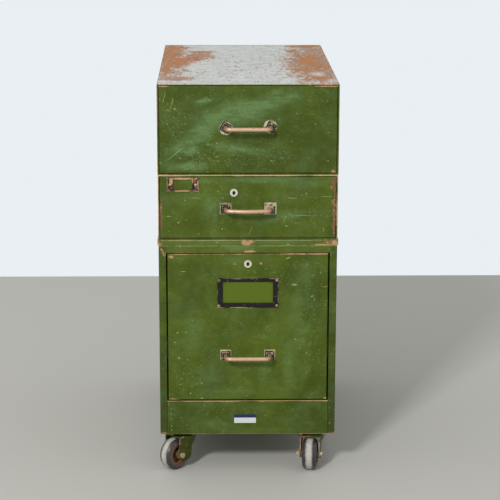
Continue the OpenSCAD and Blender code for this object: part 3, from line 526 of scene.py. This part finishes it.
class CABINET_OT_paint_lower_case(Operator):
    """Enamel on the lower case: wrap, top, kick panel, base and uprights"""

    bl_idname = "cabinet.paint_lower_case"
    bl_label = "Paint the lower case"

    def execute(self, context):
        corners = [
            (0.024, 0.972, 0.003, 0.009, -30), (0.035, 0.958, 0.004, 0.004), (0.025, 0.0, 0.016, 0.004),
            (0.985, 0.0, 0.01, 0.003), (0.966, 0.955, 0.0012, 0.005),
        ]
        sides = {"left": 0.4, "right": 0.3, "top": 0.3, "bottom": 0.5, "front": 0.7, "back": 0.9}
        # The grime setting makes the wrap darker towards the bottom.
        enamel_node("green_case_wrap", "lower_case_wrap", sides, corners, deep=0.7, brown=0.6, grime=0.3)
        worn = [(0.51, 0.12, 0.012, 0.0026)]
        pale = [(0.45, 0.6, 0.04, 0.007), (0.5, 0.97, 0.3, 0.002)]
        ends = {"top": 0.25, "bottom": 0.25}
        enamel_node("green_case_top", "lower_case_top", ends, worn, pale, deep=0.1, chalky=1.0, brown=0.2)
        self.kick_panel()
        inside = enamel_finish("green_inside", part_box("lower_case_wrap"), {"bottom": 0.4}, wear=0.5)
        dress(inside, "lower_case_base", "lower_uprights")
        return {"FINISHED"}

    def kick_panel(self):
        """The kick panel: a rubbed top edge, dirt in its joints and a column of small chips."""
        chips = [(0.026, up, 0.0009, 0.0014) for up in (0.76, 0.6, 0.46, 0.24, 0.12)]
        scuffs = [(0.3, 0.3, 0.06, 0.012, 10), (0.86, 0.4, 0.03, 0.006, 30), (0.6, 0.12, 0.09, 0.006)]
        sides = {"top": 1.2, "bottom": 0.3}
        enamel_node(
            "green_kick_panel", "lower_kick_panel", sides, scuffs=scuffs, marks=chips, deep=0.65, chalky=0.4,
            brown=0.1, joints={"left": 0.8, "right": 0.8}
        )


class CABINET_OT_paint_upper_cases(Operator):
    """Enamel on the upper cases and their base rail, and bare zinc on the top"""

    bl_idname = "cabinet.paint_upper_cases"
    bl_label = "Paint the upper cases"

    def execute(self, context):
        self.base_rail()
        self.middle_shell()
        dress(self.top_finish(), "top_case_shell")
        enamel_node("green_case_backs", "upper_case_backs", {"left": 1, "right": 1, "top": 1}, wear=0.6)
        _, metal = palettes()
        dress(metal_finish("runner_steel", metal.steel, metal.dark_rust), "upper_runners")
        return {"FINISHED"}

    def base_rail(self):
        """The rail under the middle case, worn along its edges and ends."""
        worn = [
            (0.487, 0.5, 0.01, 0.008), (0.52, 0.75, 0.007, 0.003), (0.012, 0.4, 0.004, 0.007),
            (0.98, 0.5, 0.009, 0.006), (0.957, 0.6, 0.012, 0.003), (0.92, 0.2, 0.03, 0.0012),
        ]
        line = {"top": 0.35, "bottom": 0.9, "left": 1.5, "right": 1.5, "front": 0.6, "back": 0.6}
        pale = [(0.4, 0.93, 0.2, 0.0006), (0.72, 0.25, 0.004, 0.001), (0.33, 0.6, 0.004, 0.0007, -35)]
        scuffs = [(0.3, 0.5, 0.12, 0.004), (0.65, 0.6, 0.05, 0.003)]
        enamel_node(
            "green_base_rail", "middle_base_rail", line, worn, scuffs, marks=pale, deep=0.1, brown=0.3
        )

    def middle_shell(self):
        """The middle case, with a pale upper rim."""
        hems = {"top": 1.2, "left": 0.9, "right": 0.9, "bottom": 0.2, "front": 0.8, "back": 0.8}
        smears = [(0.992, 0.45, 0.002, 0.03), (0.99, 0.93, 0.003, 0.008)]
        node = "middle_case_shell"
        enamel_node(
            "green_middle_case", node, hems, smears, brown=0.15,
            rims=lambda finish: edge_wear(finish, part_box(node), {"top": 1}, 0.001) * 0.6
        )

    def top_finish(self):
        """Enamel on the sides and bare zinc with rust on the top."""
        enamel, _ = palettes()
        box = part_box("top_case_shell")
        finish = Finish("bare_zinc_top")
        zinc = self.rusty_zinc(finish, box)
        rim = edge_wear(finish, box, {"left": 1, "right": 1, "front": 1, "back": 2}, 0.002) * 0.75
        zinc = finish.mix(rim, zinc, bare_metal(finish, 0.7))
        sides = finish.mix(finish.patches(0.1, 0.55, 0.35), enamel.deep_green, enamel.green)
        sides = finish.mix(finish.patches(0.06, 0.4, 0.25) * 0.35, sides, enamel.faded_green)
        hems = {"left": 0.6, "right": 0.4, "front": 0.8, "back": 1, "bottom": 0.8, "top": 0.7}
        corners = [(0.02, 0.992, 0.01, 0.0018), (0.93, 0.992, 0.035, 0.0026), (0.003, 0.7, 0.0014, 0.03)]
        worn = spots(finish, box, corners, ragged=1.4) | edge_wear(finish, box, hems, 0.0013)
        sides = finish.mix(worn, sides, bare_metal(finish, 0.75))
        below = box[1].z - finish.xyz[2] + finish.uneven(0.0014, 0.004)
        colour = finish.mix(finish.step(below, TOP_FOLD, -TOP_FOLD / 3), sides, zinc)
        grain = finish.noise(0.006, 6.0, 0.75)
        return finish.surface(colour, 0.55 + grain * 0.2, 0, grain * 0.4, 0.0003, gloss=ZINC_GLOSS)

    def rusty_zinc(self, finish, box):
        """Streaked grey zinc under a thin brown veil, with orange rust breaking through at both ends."""
        _, metal = palettes()
        on_top = partial(spots, finish, box, depth_axis=2)
        streaks = finish.fade(finish.noise((0.03, 0.02, 0.02), 9.0, 0.8), 0.34, 0.66)
        zinc = finish.mix(streaks, metal.dull_zinc, metal.zinc)
        heart = [
            (0.1, 0.53, 0.04, 0.11), (0.18, 0.62, 0.035, 0.06), (0.07, 0.9, 0.04, 0.07),
            (0.04, 0.7, 0.03, 0.13), (0.24, 0.8, 0.04, 0.022), (0.03, 0.34, 0.018, 0.08),
            (0.88, 0.56, 0.032, 0.11), (0.88, 0.96, 0.05, 0.03), (0.81, 0.83, 0.02, 0.03),
            (0.87, 0.15, 0.042, 0.04), (0.82, 0.34, 0.03, 0.08), (0.93, 0.36, 0.02, 0.06),
        ]
        veil = [
            (0.95, 0.55, 0.05, 0.5), (0.87, 0.45, 0.055, 0.3), (0.1, 0.12, 0.045, 0.04),
            (0.05, 0.6, 0.04, 0.36), (0.24, 0.7, 0.03, 0.06), (0.95, 0.1, 0.03, 0.1),
        ]
        dotted = [
            (0.43, 0.52, 0.035, 0.12), (0.29, 0.52, 0.03, 0.06), (0.5, 0.3, 0.1, 0.1),
            (0.74, 0.65, 0.06, 0.26), (0.2, 0.26, 0.05, 0.05), (0.5, 0.05, 0.15, 0.02),
        ]
        coarse = finish.noise(0.05, 9.0, 0.8) - 0.5
        fine = finish.noise((0.007, 0.03, 0.01), 6.0, 0.8) - 0.5
        speckle = finish.fade(fine, 0.02, 0.12) * (on_top(dotted, soft=1.9) * 0.55 + 0.14)
        specks = finish.mix(finish.patches(0.02, 0.5), metal.rust, metal.dark_rust)
        zinc = finish.mix(speckle, zinc, specks)
        rusty = on_top(heart, ragged=0.4, soft=1.9) + coarse * 1.8 + fine * 1.8
        veiled = on_top(veil, ragged=0.4, soft=1.9) + coarse * 1.1 + fine * 2.6
        mottled = finish.fade(finish.noise((0.012, 0.03, 0.02), 9.0, 0.8), 0.36, 0.62)
        thin = finish.mix(mottled, metal.pale_rust, metal.rust)
        zinc = finish.mix(finish.fade(veiled, 0.25, 0.85) * 0.9, zinc, thin)
        blotches = finish.fade(finish.noise((0.02, 0.05, 0.03), 9.0, 0.8), 0.38, 0.6)
        rust = finish.mix(finish.fade(rusty, 0.55, 1.0) * blotches * 0.85, thin, metal.bright_rust)
        zinc = finish.mix(finish.fade(rusty, 0.4, 0.85), zinc, rust)
        zinc = finish.mix(finish.fade(fine, -0.08, -0.15) * 0.4, zinc, metal.zinc)
        corners = [(0.03, 0.05, 0.014, 0.02), (0.97, 0.06, 0.012, 0.03), (0.9, 0.22, 0.014, 0.03)]
        pale = on_top(corners, soft=1.5) * finish.fade(fine, -0.06, 0.02) * 0.7
        zinc = finish.mix(pale, zinc, metal.zinc)
        return finish.mix(finish.fade(fine, 0.1, 0.17) * 0.3, zinc, metal.dark_rust)


def feet(level):
    """The side of each foot of a handle, with its place across the front and its height."""
    low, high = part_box(f"{level}_handle_bar")
    foot = high.x - (high.z - low.z) / 2
    return [(side, side * foot, (low.z + high.z) / 2) for side in (-1, 1)]


def washer_marks(finish, level):
    """Pale marks of round washers about a handle's feet, low at the left foot and high at the right one."""
    mask = 0.0
    for side, x, z in feet(level):
        centre = (x - side * WASHER_SHIFT / 2, 0, z + side * WASHER_SHIFT)
        reach = finish.length(finish.placed(centre, size=(1, FAR, 1))) + finish.uneven(0.003, 0.006)
        mask = finish.step(reach, WASHER_RADIUS, -0.0004) | mask
    return mask * (finish.patches(0.009, 0.6, 0.2, 5.0) * 0.7 + 0.15)


def plate_marks(finish, level, half, shares):
    """Pale outlines round a handle's two square plates, each as whole as its share says."""
    mask = 0.0
    for (_, x, z), share in zip(feet(level), shares):
        local = finish.split(finish.placed((x, 0, z + half / 12)))
        square = (abs(local[0]) | abs(local[2])) + finish.uneven(0.0012, 0.004)
        whole = finish.patches(0.008, share, 0.3) * 0.7 + 0.15
        mask = finish.step(square, half, -0.0003) * whole | mask
    return mask


class CABINET_OT_paint_drawers(Operator):
    """Enamel on the three drawer fronts and their trays"""

    bl_idname = "cabinet.paint_drawers"
    bl_label = "Paint the drawers"

    def execute(self, context):
        self.top_front()
        self.middle_front()
        self.lower_front()
        edges = {"top": 0.6, "bottom": 0.4}
        for level, others in (("lower", ["lower_drawer_liner"]), ("middle", []), ("top", [])):
            enamel_node(f"green_{level}_tray", f"{level}_drawer_tray", edges, others=others, wear=0.5)
        return {"FINISHED"}

    def top_front(self):
        scuffs = [
            (0.47, 0.7, 0.08, 0.022, -12), (0.58, 0.8, 0.06, 0.016, -12), (0.35, 0.66, 0.05, 0.016, -30),
            (0.22, 0.44, 0.06, 0.018, -30), (0.15, 0.29, 0.026, 0.012), (0.45, 0.28, 0.05, 0.01, 10),
            (0.25, 0.82, 0.016, 0.006, -15), (0.7, 0.86, 0.034, 0.008, -4), (0.14, 0.08, 0.04, 0.008),
        ]
        speckled = [
            (0.36, 0.24, 0.1, 0.034), (0.22, 0.1, 0.08, 0.016), (0.62, 0.2, 0.05, 0.03),
            (0.1, 0.6, 0.03, 0.05),
        ]
        marks = [
            (0.1, 0.24, 0.024, 0.0005, -38), (0.075, 0.8, 0.0005, 0.012, 12),
            (0.03, 0.86, 0.0005, 0.014, 14), (0.09, 0.74, 0.0022, 0.0015), (0.055, 0.72, 0.005, 0.0006, 20),
        ]
        bare = [(0.02, 0.995, 0.012, 0.0014), (0.95, 0.995, 0.025, 0.0014), (0.98, 0.02, 0.004, 0.003)]
        sides = {"bottom": 0.55, "left": 0.3, "right": 0.15, "top": 0.1}
        enamel_node(
            "green_top_front", "top_drawer_front", sides, bare, scuffs, speckled, marks=marks,
            deep=0.85, chalky=1.4, rims=lambda finish: washer_marks(finish, "top")
        )

    def middle_front(self):
        scuffs = [
            (0.28, 0.56, 0.016, 0.028), (0.31, 0.36, 0.006, 0.014), (0.82, 0.88, 0.06, 0.009),
            (0.6, 0.95, 0.1, 0.006), (0.25, 0.93, 0.05, 0.005), (0.68, 0.35, 0.05, 0.01, -10),
        ]
        marks = [
            (0.75, 0.655, 0.011, 0.0006, 3), (0.945, 0.68, 0.012, 0.0005), (0.81, 0.37, 0.02, 0.0004),
            (0.72, 0.2, 0.003, 0.0011), (0.71, 0.31, 0.0004, 0.008, 25), (0.105, 0.26, 0.0018, 0.0016),
            (0.515, 0.13, 0.0004, 0.01, 20), (0.05, 0.36, 0.006, 0.0005), (0.2, 0.66, 0.012, 0.0005),
            (0.93, 0.14, 0.0004, 0.005), (0.83, 0.72, 0.0008, 0.003), (0.33, 0.77, 0.0016, 0.0014),
        ]
        speckled = [(0.12, 0.7, 0.03, 0.01), (0.1, 0.38, 0.03, 0.006), (0.85, 0.35, 0.04, 0.02)]
        bare = [
            (0.982, 0.88, 0.005, 0.01), (0.985, 0.58, 0.005, 0.008), (0.992, 0.28, 0.004, 0.032),
            (0.006, 0.35, 0.0024, 0.036), (0.994, 0.6, 0.002, 0.06),
        ]
        sides = {"left": 0.6, "right": 0.7, "top": 0.3, "bottom": 0.2}
        enamel_node(
            "green_middle_front", "middle_drawer_front", sides, bare, scuffs, speckled, marks=marks,
            chalky=0.7, brown=0.8, rims=lambda finish: plate_marks(finish, "middle", 0.0128, (0.15, 0.75))
        )

    def lower_front(self):
        """The lower front, with fresher enamel where its card holder kept the light off."""
        low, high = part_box("lower_drawer_front")
        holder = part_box("lower_card_holder")
        place, size, front = (holder[0] + holder[1]) / 2 - low, holder[1] - holder[0], high - low
        cover = (place.x / front.x, place.z / front.z, size.x * 0.46, size.z * 0.56)
        scuffs = [
            (0.86, 0.85, 0.016, 0.03), (0.8, 0.6, 0.02, 0.04, 10), (0.83, 0.46, 0.016, 0.03, 20),
            (0.16, 0.5, 0.02, 0.05), (0.43, 0.955, 0.022, 0.01), (0.25, 0.14, 0.03, 0.03),
            (0.6, 0.2, 0.014, 0.03), (0.76, 0.22, 0.012, 0.05), (0.4, 0.05, 0.06, 0.01),
        ]
        speckled = [(0.85, 0.6, 0.03, 0.07), (0.84, 0.93, 0.05, 0.012), (0.12, 0.16, 0.03, 0.04)]
        marks = [
            (0.06, 0.465, 0.0026, 0.001, -35), (0.9, 0.71, 0.003, 0.0012, -30),
            (0.915, 0.685, 0.0007, 0.002), (0.07, 0.29, 0.0018, 0.002), (0.21, 0.115, 0.0014, 0.0014),
            (0.14, 0.045, 0.0016, 0.0018), (0.21, 0.012, 0.003, 0.0012, 20),
            (0.54, 0.88, 0.0004, 0.004, -30), (0.79, 0.79, 0.006, 0.0016), (0.1, 0.88, 0.005, 0.0008),
            (0.75, 0.97, 0.005, 0.0012, -20),
        ]
        bare = [
            (0.024, 0.98, 0.005, 0.003), (0.9, 0.998, 0.05, 0.0018), (0.03, 0.004, 0.012, 0.0018),
            (0.975, 0.775, 0.007, 0.0006), (0.99, 0.01, 0.003, 0.002),
        ]
        sides = {"left": 0.4, "right": 0.35, "top": 1.0, "bottom": 0.25}
        enamel_node(
            "green_lower_front", "lower_drawer_front", sides, bare, scuffs, speckled, [cover], marks,
            chalky=0.55, brown=0.3, rims=lambda finish: plate_marks(finish, "lower", 0.0118, (0.5, 0.5))
        )


# -------- handles, locks and card holders


class CABINET_OT_finish_handles(Operator):
    """Rubbed copper bars on black square plates"""

    bl_idname = "cabinet.finish_handles"
    bl_label = "Finish the handles"

    def execute(self, context):
        _, metal = palettes()
        for level, (turns, worn) in HANDLE_PLATES.items():
            dress(self.bar_finish(level), f"{level}_handle_bar")
            dress(self.plate_finish(level, turns, worn), f"{level}_handle_plates")
            screws = metal_finish(f"{level}_screw_steel", metal.steel, metal.dark_rust)
            dress(screws, f"{level}_handle_screws")
        return {"FINISHED"}

    def bar_finish(self, level):
        """Copper that hands have rubbed bright on the grip and left brown at the bends, with painted shade
        turning its underside brown.
        """
        enamel, metal = palettes()
        finish = Finish(f"{level}_bar_copper")
        low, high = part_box(f"{level}_handle_bar")
        torn = finish.uneven(0.3, 0.006, 5.0, 0.7)
        bent = finish.fade(abs(finish.xyz[0]) / high.x + torn, 0.74, 1.0) * 0.7
        # Painted shade: the lower part of the bar is turned brown, as if shaded from the light above.
        under = finish.fade((high.z - finish.xyz[2]) / (high.z - low.z) + torn, 0.72, 0.95) * 0.8
        brown_and_shade = bent | under | finish.patches(0.005, 0.15, 0.1) * 0.6
        colour = finish.mix(brown_and_shade, metal.copper, enamel.brown)
        return finish.surface(colour, 0.38 + brown_and_shade * 0.2, 0.35, finish.noise(0.003), 0.0001)

    def plate_finish(self, level, turns, worn):
        """Black plates whose rims and raised squares have gone pale, each over its own share, the pale wear
        fading out towards each plate's lower right as painted shade.
        """
        enamel, _ = palettes()
        finish = Finish(f"{level}_plate_black")
        square, pale = FAR, 0.0
        for (_, x, z), turn, share in zip(feet(level), turns, worn):
            local = finish.split(finish.placed((x, 0, z), (0, turn, 0)))
            here = abs(local[0]) | abs(local[2])
            square = here & square
            # Painted shade: the pale wear fades out towards the lower right of each plate, leaving that side
            # black as if in shade.
            above = finish.fade(local[2] - local[0], -0.012, 0.002) * 0.9 + 0.1
            plate = finish.step(here, PLATE_REACH, -0.0005)
            pale = plate * finish.patches(0.008, share, 0.14) * above | pale
        lines = finish.step(square, PLATE_EDGE, 0.0003) | finish.band(square, *PLATE_LINE, 0.00025)
        gone = (lines * finish.patches(0.008, 0.7, 0.3) | pale) * 0.85
        shade = finish.mix(finish.patches(0.006, 0.3, 0.3), enamel.cream, enamel.bare)
        colour = finish.mix(gone, enamel.black, shade)
        roughness = 0.36 + gone * 0.15
        return finish.surface(colour, roughness, gone * 0.2, finish.noise(0.002), 0.0001, gloss=ENAMEL_GLOSS)


class CABINET_OT_finish_locks(Operator):
    """Yellowed nickel locks and plain steel cams"""

    bl_idname = "cabinet.finish_locks"
    bl_label = "Finish the locks"

    def execute(self, context):
        _, metal = palettes()
        for level in ("lower", "middle"):
            dress(self.face_finish(level), f"{level}_lock_body", f"{level}_lock_plug")
        dress(metal_finish("cam_steel", metal.steel, metal.dark_rust), "lower_lock_cam", "middle_lock_cam")
        return {"FINISHED"}

    def face_finish(self, level):
        """Nickel, with painted shade round the keyhole that stands in for a wider, dark keyhole opening."""
        _, metal = palettes()
        finish = Finish(f"{level}_lock_nickel")
        x, _, z = JOINTS[f"{level}_lock_turn"]["pos_m"]
        # Painted shade: a dark oval in the tyres' rubber colour round the keyhole, standing in for the shade
        # inside a wider keyhole.
        reach = finish.length(finish.placed((x, 0, z), size=KEYHOLE_SHADE))
        dirt_and_shade = finish.fade(reach + finish.uneven(0.8, 0.003), 1.1, 0.85)
        stained = finish.patches(0.004, 0.25, 0.2, 5.0) * 0.5
        colour = finish.mix(stained, metal.nickel, metal.rust)
        colour = finish.mix(dirt_and_shade, colour, metal.rubber)
        return finish.surface(colour, 0.34 + stained * 0.3, 0.3, finish.noise(0.002), 0.0001)


class CABINET_OT_finish_card_holders(Operator):
    """Black card holder frames, the small one worn to copper brown, and their rivets"""

    bl_idname = "cabinet.finish_card_holders"
    bl_label = "Finish the card holders"

    def execute(self, context):
        self.frame_finish("lower", 0.0012, 0.0, [])
        rubbed = [
            (0.5, 0.93, 0.02, 0.0024), (0.14, 0.75, 0.003, 0.007), (0.5, 0.07, 0.016, 0.0014),
            (0.79, 0.75, 0.002, 0.006), (0.92, 0.93, 0.003, 0.002), (0.98, 0.5, 0.002, 0.01),
        ]
        self.frame_finish("middle", 0.0009, 0.5, rubbed)
        enamel, _ = palettes()
        studs = metal_finish("rivet_cream", enamel.bare, enamel.black, 0.004, 0.3, 0.2, 0.45)
        dress(studs, "lower_drawer_studs")
        rivets = metal_finish("rivet_brown", enamel.cream, enamel.brown, 0.003, 0.4, 0.2, 0.45)
        dress(rivets, "middle_drawer_rivets")
        return {"FINISHED"}

    def frame_finish(self, level, rim_width, brown, rubbed):
        """Black enamel, brown in a share of it, bare where it is rubbed, and pale along its rim."""
        enamel, _ = palettes()
        name = f"{level}_card_holder"
        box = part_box(name)
        finish = Finish(f"{level}_holder_black")
        rim = edge_wear(finish, box, {"left": 1, "right": 1, "top": 1, "bottom": 1}, rim_width)
        shade = finish.mix(finish.patches(0.008, brown, 0.12, 5.0), enamel.black, enamel.brown)
        if rubbed:
            shade = finish.mix(spots(finish, box, rubbed, ragged=1.2), shade, bare_metal(finish, 0.2))
        colour = finish.mix(rim * 0.85, shade, enamel.cream)
        roughness = 0.38 + rim * 0.15
        dress(finish.surface(colour, roughness, 0.1, finish.noise(0.002), 0.0001, ENAMEL_GLOSS), name)


# -------- suspension, bolts and casters


class CABINET_OT_finish_suspension(Operator):
    """Steel rails, cradles and rollers, and the stacking bolts"""

    bl_idname = "cabinet.finish_suspension"
    bl_label = "Finish the suspension"

    def execute(self, context):
        _, metal = palettes()
        rails = metal_finish("rail_steel", metal.steel, metal.dark_rust, 0.05, 0.2)
        dress(rails, "lower_cabinet_rails", "lower_drawer_rails", "lower_cradles")
        rollers = metal_finish("roller_steel", metal.zinc, metal.dull_zinc, 0.006, 0.3, 0.8, 0.3)
        dress(rollers, "lower_front_rollers", "lower_rear_rollers")
        dress(metal_finish("bolt_steel", metal.dull_zinc, metal.rust, 0.01, 0.2), "stacking_bolts")
        return {"FINISHED"}


class CABINET_OT_finish_casters(Operator):
    """Green forks, pale plates and bolts, rusty wheel centres and dusty tyres"""

    bl_idname = "cabinet.finish_casters"
    bl_label = "Finish the casters"

    def execute(self, context):
        _, metal = palettes()
        dress(self.plates_finish(), "caster_plates")
        dress(metal_finish("mount_bolts", metal.brass, metal.dark_rust, 0.006, 0.3), "caster_fasteners")
        for corner, rusty, stained in zip(CORNERS, (0.16, 0.85, 0.3, 0.3), (0.75, 0.2, 0.4, 0.4)):
            joint = JOINTS[f"{corner}_wheel_spin"]
            turn = degrees(atan2(joint["axis"][1], joint["axis"][0]))
            wheel = (corner, joint["pos_m"], turn)
            dress(self.fork_finish(*wheel, rusty), f"{corner}_fork")
            brass = metal_finish(f"{corner}_axle_brass", metal.brass, metal.rust, 0.005, 0.25, 0.5, 0.35)
            dress(brass, f"{corner}_axle")
            dress(self.hub_finish(*wheel), f"{corner}_hub")
            dress(self.tyre_finish(*wheel, stained), f"{corner}_tyre")
        return {"FINISHED"}

    def plates_finish(self):
        """Cream plates with rust on the right, and plates painted over with the case on the left."""
        enamel, metal = palettes()
        finish = Finish("mount_plate")
        rusty = finish.patches(0.014, 0.3, 0.2, 5.0)
        plain = finish.mix(rusty, enamel.cream, metal.rust)
        painted = finish.mix(finish.patches(0.01, 0.4, 0.3), enamel.deep_green, enamel.black)
        colour = finish.mix(finish.step(finish.xyz[0], 0, -0.01), plain, painted)
        return finish.surface(colour, 0.5 + rusty * 0.2, 0.1, finish.noise(0.003), 0.0001)

    def along_and_out(self, finish, centre, turn):
        """Distance from a wheel's middle plane and distance from its axle."""
        along, across, up = finish.split(finish.placed(centre, (0, 0, turn)))
        return abs(along), finish.math("SQRT", across * across + up * up)

    def fork_finish(self, corner, centre, turn, rusty):
        """Dark green enamel with pale cut edges, rusty about the axle and on the leg nearer the middle."""
        enamel, metal = palettes()
        finish = Finish(f"{corner}_fork_green")
        along, out = self.along_and_out(finish, centre, turn)
        boss = finish.step(out + finish.uneven(0.012, 0.006, 5.0, 0.7), AXLE_BOSS, -0.0025)
        paint = finish.mix(finish.patches(0.02, 0.3, 0.4), enamel.deep_green, enamel.green)
        inner = finish.step(abs(finish.xyz[0]), abs(centre[0]), -0.006) * 0.8 + 0.2
        stained = boss * 0.45 | finish.patches(0.014, rusty, 0.2, 6.0) * inner * 0.9
        rust = finish.mix(finish.patches(0.006, 0.4, 0.3), metal.dark_rust, metal.rust)
        colour = finish.mix(stained, paint, rust)
        colour = finish.mix(finish.patches(0.02, 0.4, 0.4, 6.0) * 0.5, colour, enamel.black)
        edge = finish.band(along, *FORK_CUT_EDGE, 0.00015) * finish.patches(0.01, 0.4, 0.3)
        colour = finish.mix(edge * 0.5, colour, enamel.cream)
        colour = finish.mix(finish.flecks(0.006, 0.12, 0.1) * 0.6, colour, enamel.cream)
        return finish.surface(colour, 0.42 + stained * 0.2, 0.1, finish.noise(0.004), gloss=ENAMEL_GLOSS)

    def hub_finish(self, corner, centre, turn):
        """Rusty steel, brighter at the rim."""
        enamel, metal = palettes()
        finish = Finish(f"{corner}_hub_rust")
        _, out = self.along_and_out(finish, centre, turn)
        colour = finish.mix(finish.patches(0.008, 0.5, 0.2), metal.dark_rust, enamel.brown)
        colour = finish.mix(finish.step(out, HUB_RIM, 0.00125) * 0.6, colour, metal.rust)
        return finish.surface(colour, 0.6, 0.2, finish.noise(0.003), 0.0003)

    def tyre_finish(self, corner, centre, turn, stained):
        """Rubber that is dusty on the tread and, in the given strength, brown round the wheel centre."""
        _, metal = palettes()
        finish = Finish(f"{corner}_tyre_rubber")
        along, out = self.along_and_out(finish, centre, turn)
        torn = finish.uneven(0.007, 0.01, 5.0)
        tread = finish.step(along + torn, TREAD_HALF, -0.003) * finish.step(out, TREAD_RADIUS, 0.00125)
        tread = tread * (0.75 + 0.25 * finish.patches(0.008, 0.6, 0.3))
        brown = finish.step(out + torn, STAIN_RADIUS, -0.00325) * stained
        colour = finish.mix(brown, metal.rubber, metal.dark_rust)
        colour = finish.mix(tread, colour, metal.dust)
        return finish.surface(colour, 0.34 + tread * 0.45, 0.0, finish.noise(0.004), 0.0001)


# -------- sticker


class CABINET_OT_add_sticker(Operator):
    """A blank two-band sticker on the kick panel"""

    bl_idname = "cabinet.add_sticker"
    bl_label = "Add the blank sticker"

    def execute(self, context):
        sizes = context.scene.cabinet_sticker
        low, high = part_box("lower_kick_panel")
        mesh = bmesh.new()
        bmesh.ops.create_grid(mesh, x_segments=1, y_segments=1, size=0.5)
        bmesh.ops.scale(mesh, vec=(sizes.width, sizes.height, 1), verts=mesh.verts)
        bmesh.ops.bevel(
            mesh, geom=mesh.verts[:], offset=sizes.corner, offset_type="OFFSET", affect="VERTICES",
            segments=4, profile=0.5, material=-1
        )
        bmesh.ops.solidify(mesh, geom=mesh.faces[:], thickness=sizes.thickness)
        bmesh.ops.rotate(mesh, matrix=Matrix.Rotation(radians(90), 3, "X"), verts=mesh.verts)
        front = low.y - min(vert.co.y for vert in mesh.verts) - sizes.thickness
        centre = Vector(((low.x + high.x) / 2 + sizes.offset, front, low.z + sizes.rise))
        bmesh.ops.translate(mesh, vec=centre, verts=mesh.verts)
        sticker = new_piece("blank_sticker", mesh)
        sticker.data.materials.append(self.paper(sizes, centre))
        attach(sticker, "cabinet")
        return {"FINISHED"}

    def paper(self, sizes, centre):
        finish = Finish("sticker_paper")
        seam = centre.z + sizes.height / 2 - sizes.band
        banded = finish.step(finish.xyz[2], seam, 0.0002)
        dirt_and_shade = finish.patches(0.006, 0.3, 0.3) * 0.15
        paper = finish.mix(dirt_and_shade, sizes.paper_colour, sizes.grime)
        return finish.surface(finish.mix(banded, paper, sizes.band_colour), 0.45)


# -------- studio


class CABINET_OT_add_studio(Operator):
    """Floor, background, lamp and camera"""

    bl_idname = "cabinet.add_studio"
    bl_label = "Set up the studio"

    def execute(self, context):
        studio = context.scene.cabinet_studio
        context.scene.view_settings.view_transform = "Standard"
        self.floor(studio)
        self.sky(context, studio)
        self.lamp(context, studio)
        self.camera(context, studio)
        return {"FINISHED"}

    def floor(self, studio):
        plate = bmesh.new()
        bmesh.ops.create_grid(plate, x_segments=1, y_segments=1, size=1)
        reach = studio.floor_reach
        bmesh.ops.scale(plate, vec=(reach, (reach + studio.floor_back) / 2, 1), verts=plate.verts)
        bmesh.ops.translate(plate, vec=(0, (studio.floor_back - reach) / 2, 0), verts=plate.verts)
        floor = new_piece("studio_floor", plate)
        floor.data.materials.append(Finish("floor_paint").surface(studio.floor, 0.8))

    def sky(self, context, studio):
        """Even light from all round, and a plain background for what looks at it."""
        world = bpy.data.worlds.new("studio_sky")
        tree = Tree(world)
        light = tree.add("ShaderNodeBackground", sockets={"Color": (1, 1, 1), "Strength": studio.sky})
        seen = tree.add("ShaderNodeBackground", sockets={"Color": studio.wall})
        looks = tree.add("ShaderNodeLightPath", output="Is Camera Ray")
        looks = looks | looks.sibling("Is Glossy Ray") | looks.sibling("Is Transmission Ray")
        mixed = tree.add("ShaderNodeMixShader", sockets={0: looks, 1: light, 2: seen})
        tree.add("ShaderNodeOutputWorld", sockets={"Surface": mixed})
        context.scene.world = world

    def lamp(self, context, studio):
        data = bpy.data.lights.new("key_lamp", "AREA")
        data.energy = studio.key_watts
        data.size = studio.key_side
        lamp = bpy.data.objects.new("key_lamp", data)
        place, aim = Vector(studio.key_place), Vector((0, 0, CAD_BOUNDS[1][2] / 2))
        aimed = (aim - place).to_track_quat("-Z", "Y").to_matrix().to_4x4()
        lamp.matrix_world = Matrix.Translation(place) @ aimed
        context.scene.collection.objects.link(lamp)

    def camera(self, context, studio):
        data = bpy.data.cameras.new("camera")
        data.lens = studio.lens
        data.sensor_width = SENSOR_WIDTH
        camera = bpy.data.objects.new("camera", data)
        tilt, turn, roll = studio.camera_turn
        level = Matrix.Rotation(-turn, 4, "Z") @ Matrix.Rotation(radians(90) - tilt, 4, "X")
        camera.matrix_world = Matrix.Translation(studio.camera_place) @ level @ Matrix.Rotation(roll, 4, "Z")
        context.scene.collection.objects.link(camera)
        context.scene.camera = camera


# -------- panel and run

STEPS = (
    CABINET_OT_paint_lower_case,
    CABINET_OT_paint_upper_cases,
    CABINET_OT_paint_drawers,
    CABINET_OT_finish_handles,
    CABINET_OT_finish_locks,
    CABINET_OT_finish_card_holders,
    CABINET_OT_finish_suspension,
    CABINET_OT_finish_casters,
    CABINET_OT_add_sticker,
    CABINET_OT_add_studio,
)


class CABINET_PT_steps(Panel):
    """Lists the settings and the steps of the cabinet"""

    bl_idname = "CABINET_PT_steps"
    bl_label = "Cabinet"
    bl_space_type = "VIEW_3D"
    bl_region_type = "UI"
    bl_category = "Cabinet"

    def draw(self, context):
        for group in SETTINGS:
            settings = getattr(context.scene, group)
            for name in settings.bl_rna.properties.keys():
                if name not in ("rna_type", "name"):
                    self.layout.prop(settings, name)
        for step in STEPS:
            self.layout.operator(step.bl_idname)


def register():
    for group in SETTINGS.values():
        bpy.utils.register_class(group)
    for name, group in SETTINGS.items():
        setattr(Scene, name, PointerProperty(type=group))
    for step in (*STEPS, CABINET_PT_steps):
        bpy.utils.register_class(step)


def unregister():
    for step in (CABINET_PT_steps, *reversed(STEPS)):
        bpy.utils.unregister_class(step)
    for name in SETTINGS:
        delattr(Scene, name)
    for group in reversed(SETTINGS.values()):
        bpy.utils.unregister_class(group)


def main():
    register()
    for step in STEPS:
        area, name = step.bl_idname.split(".")
        getattr(getattr(bpy.ops, area), name)()


if __name__ == "__main__":
    main()
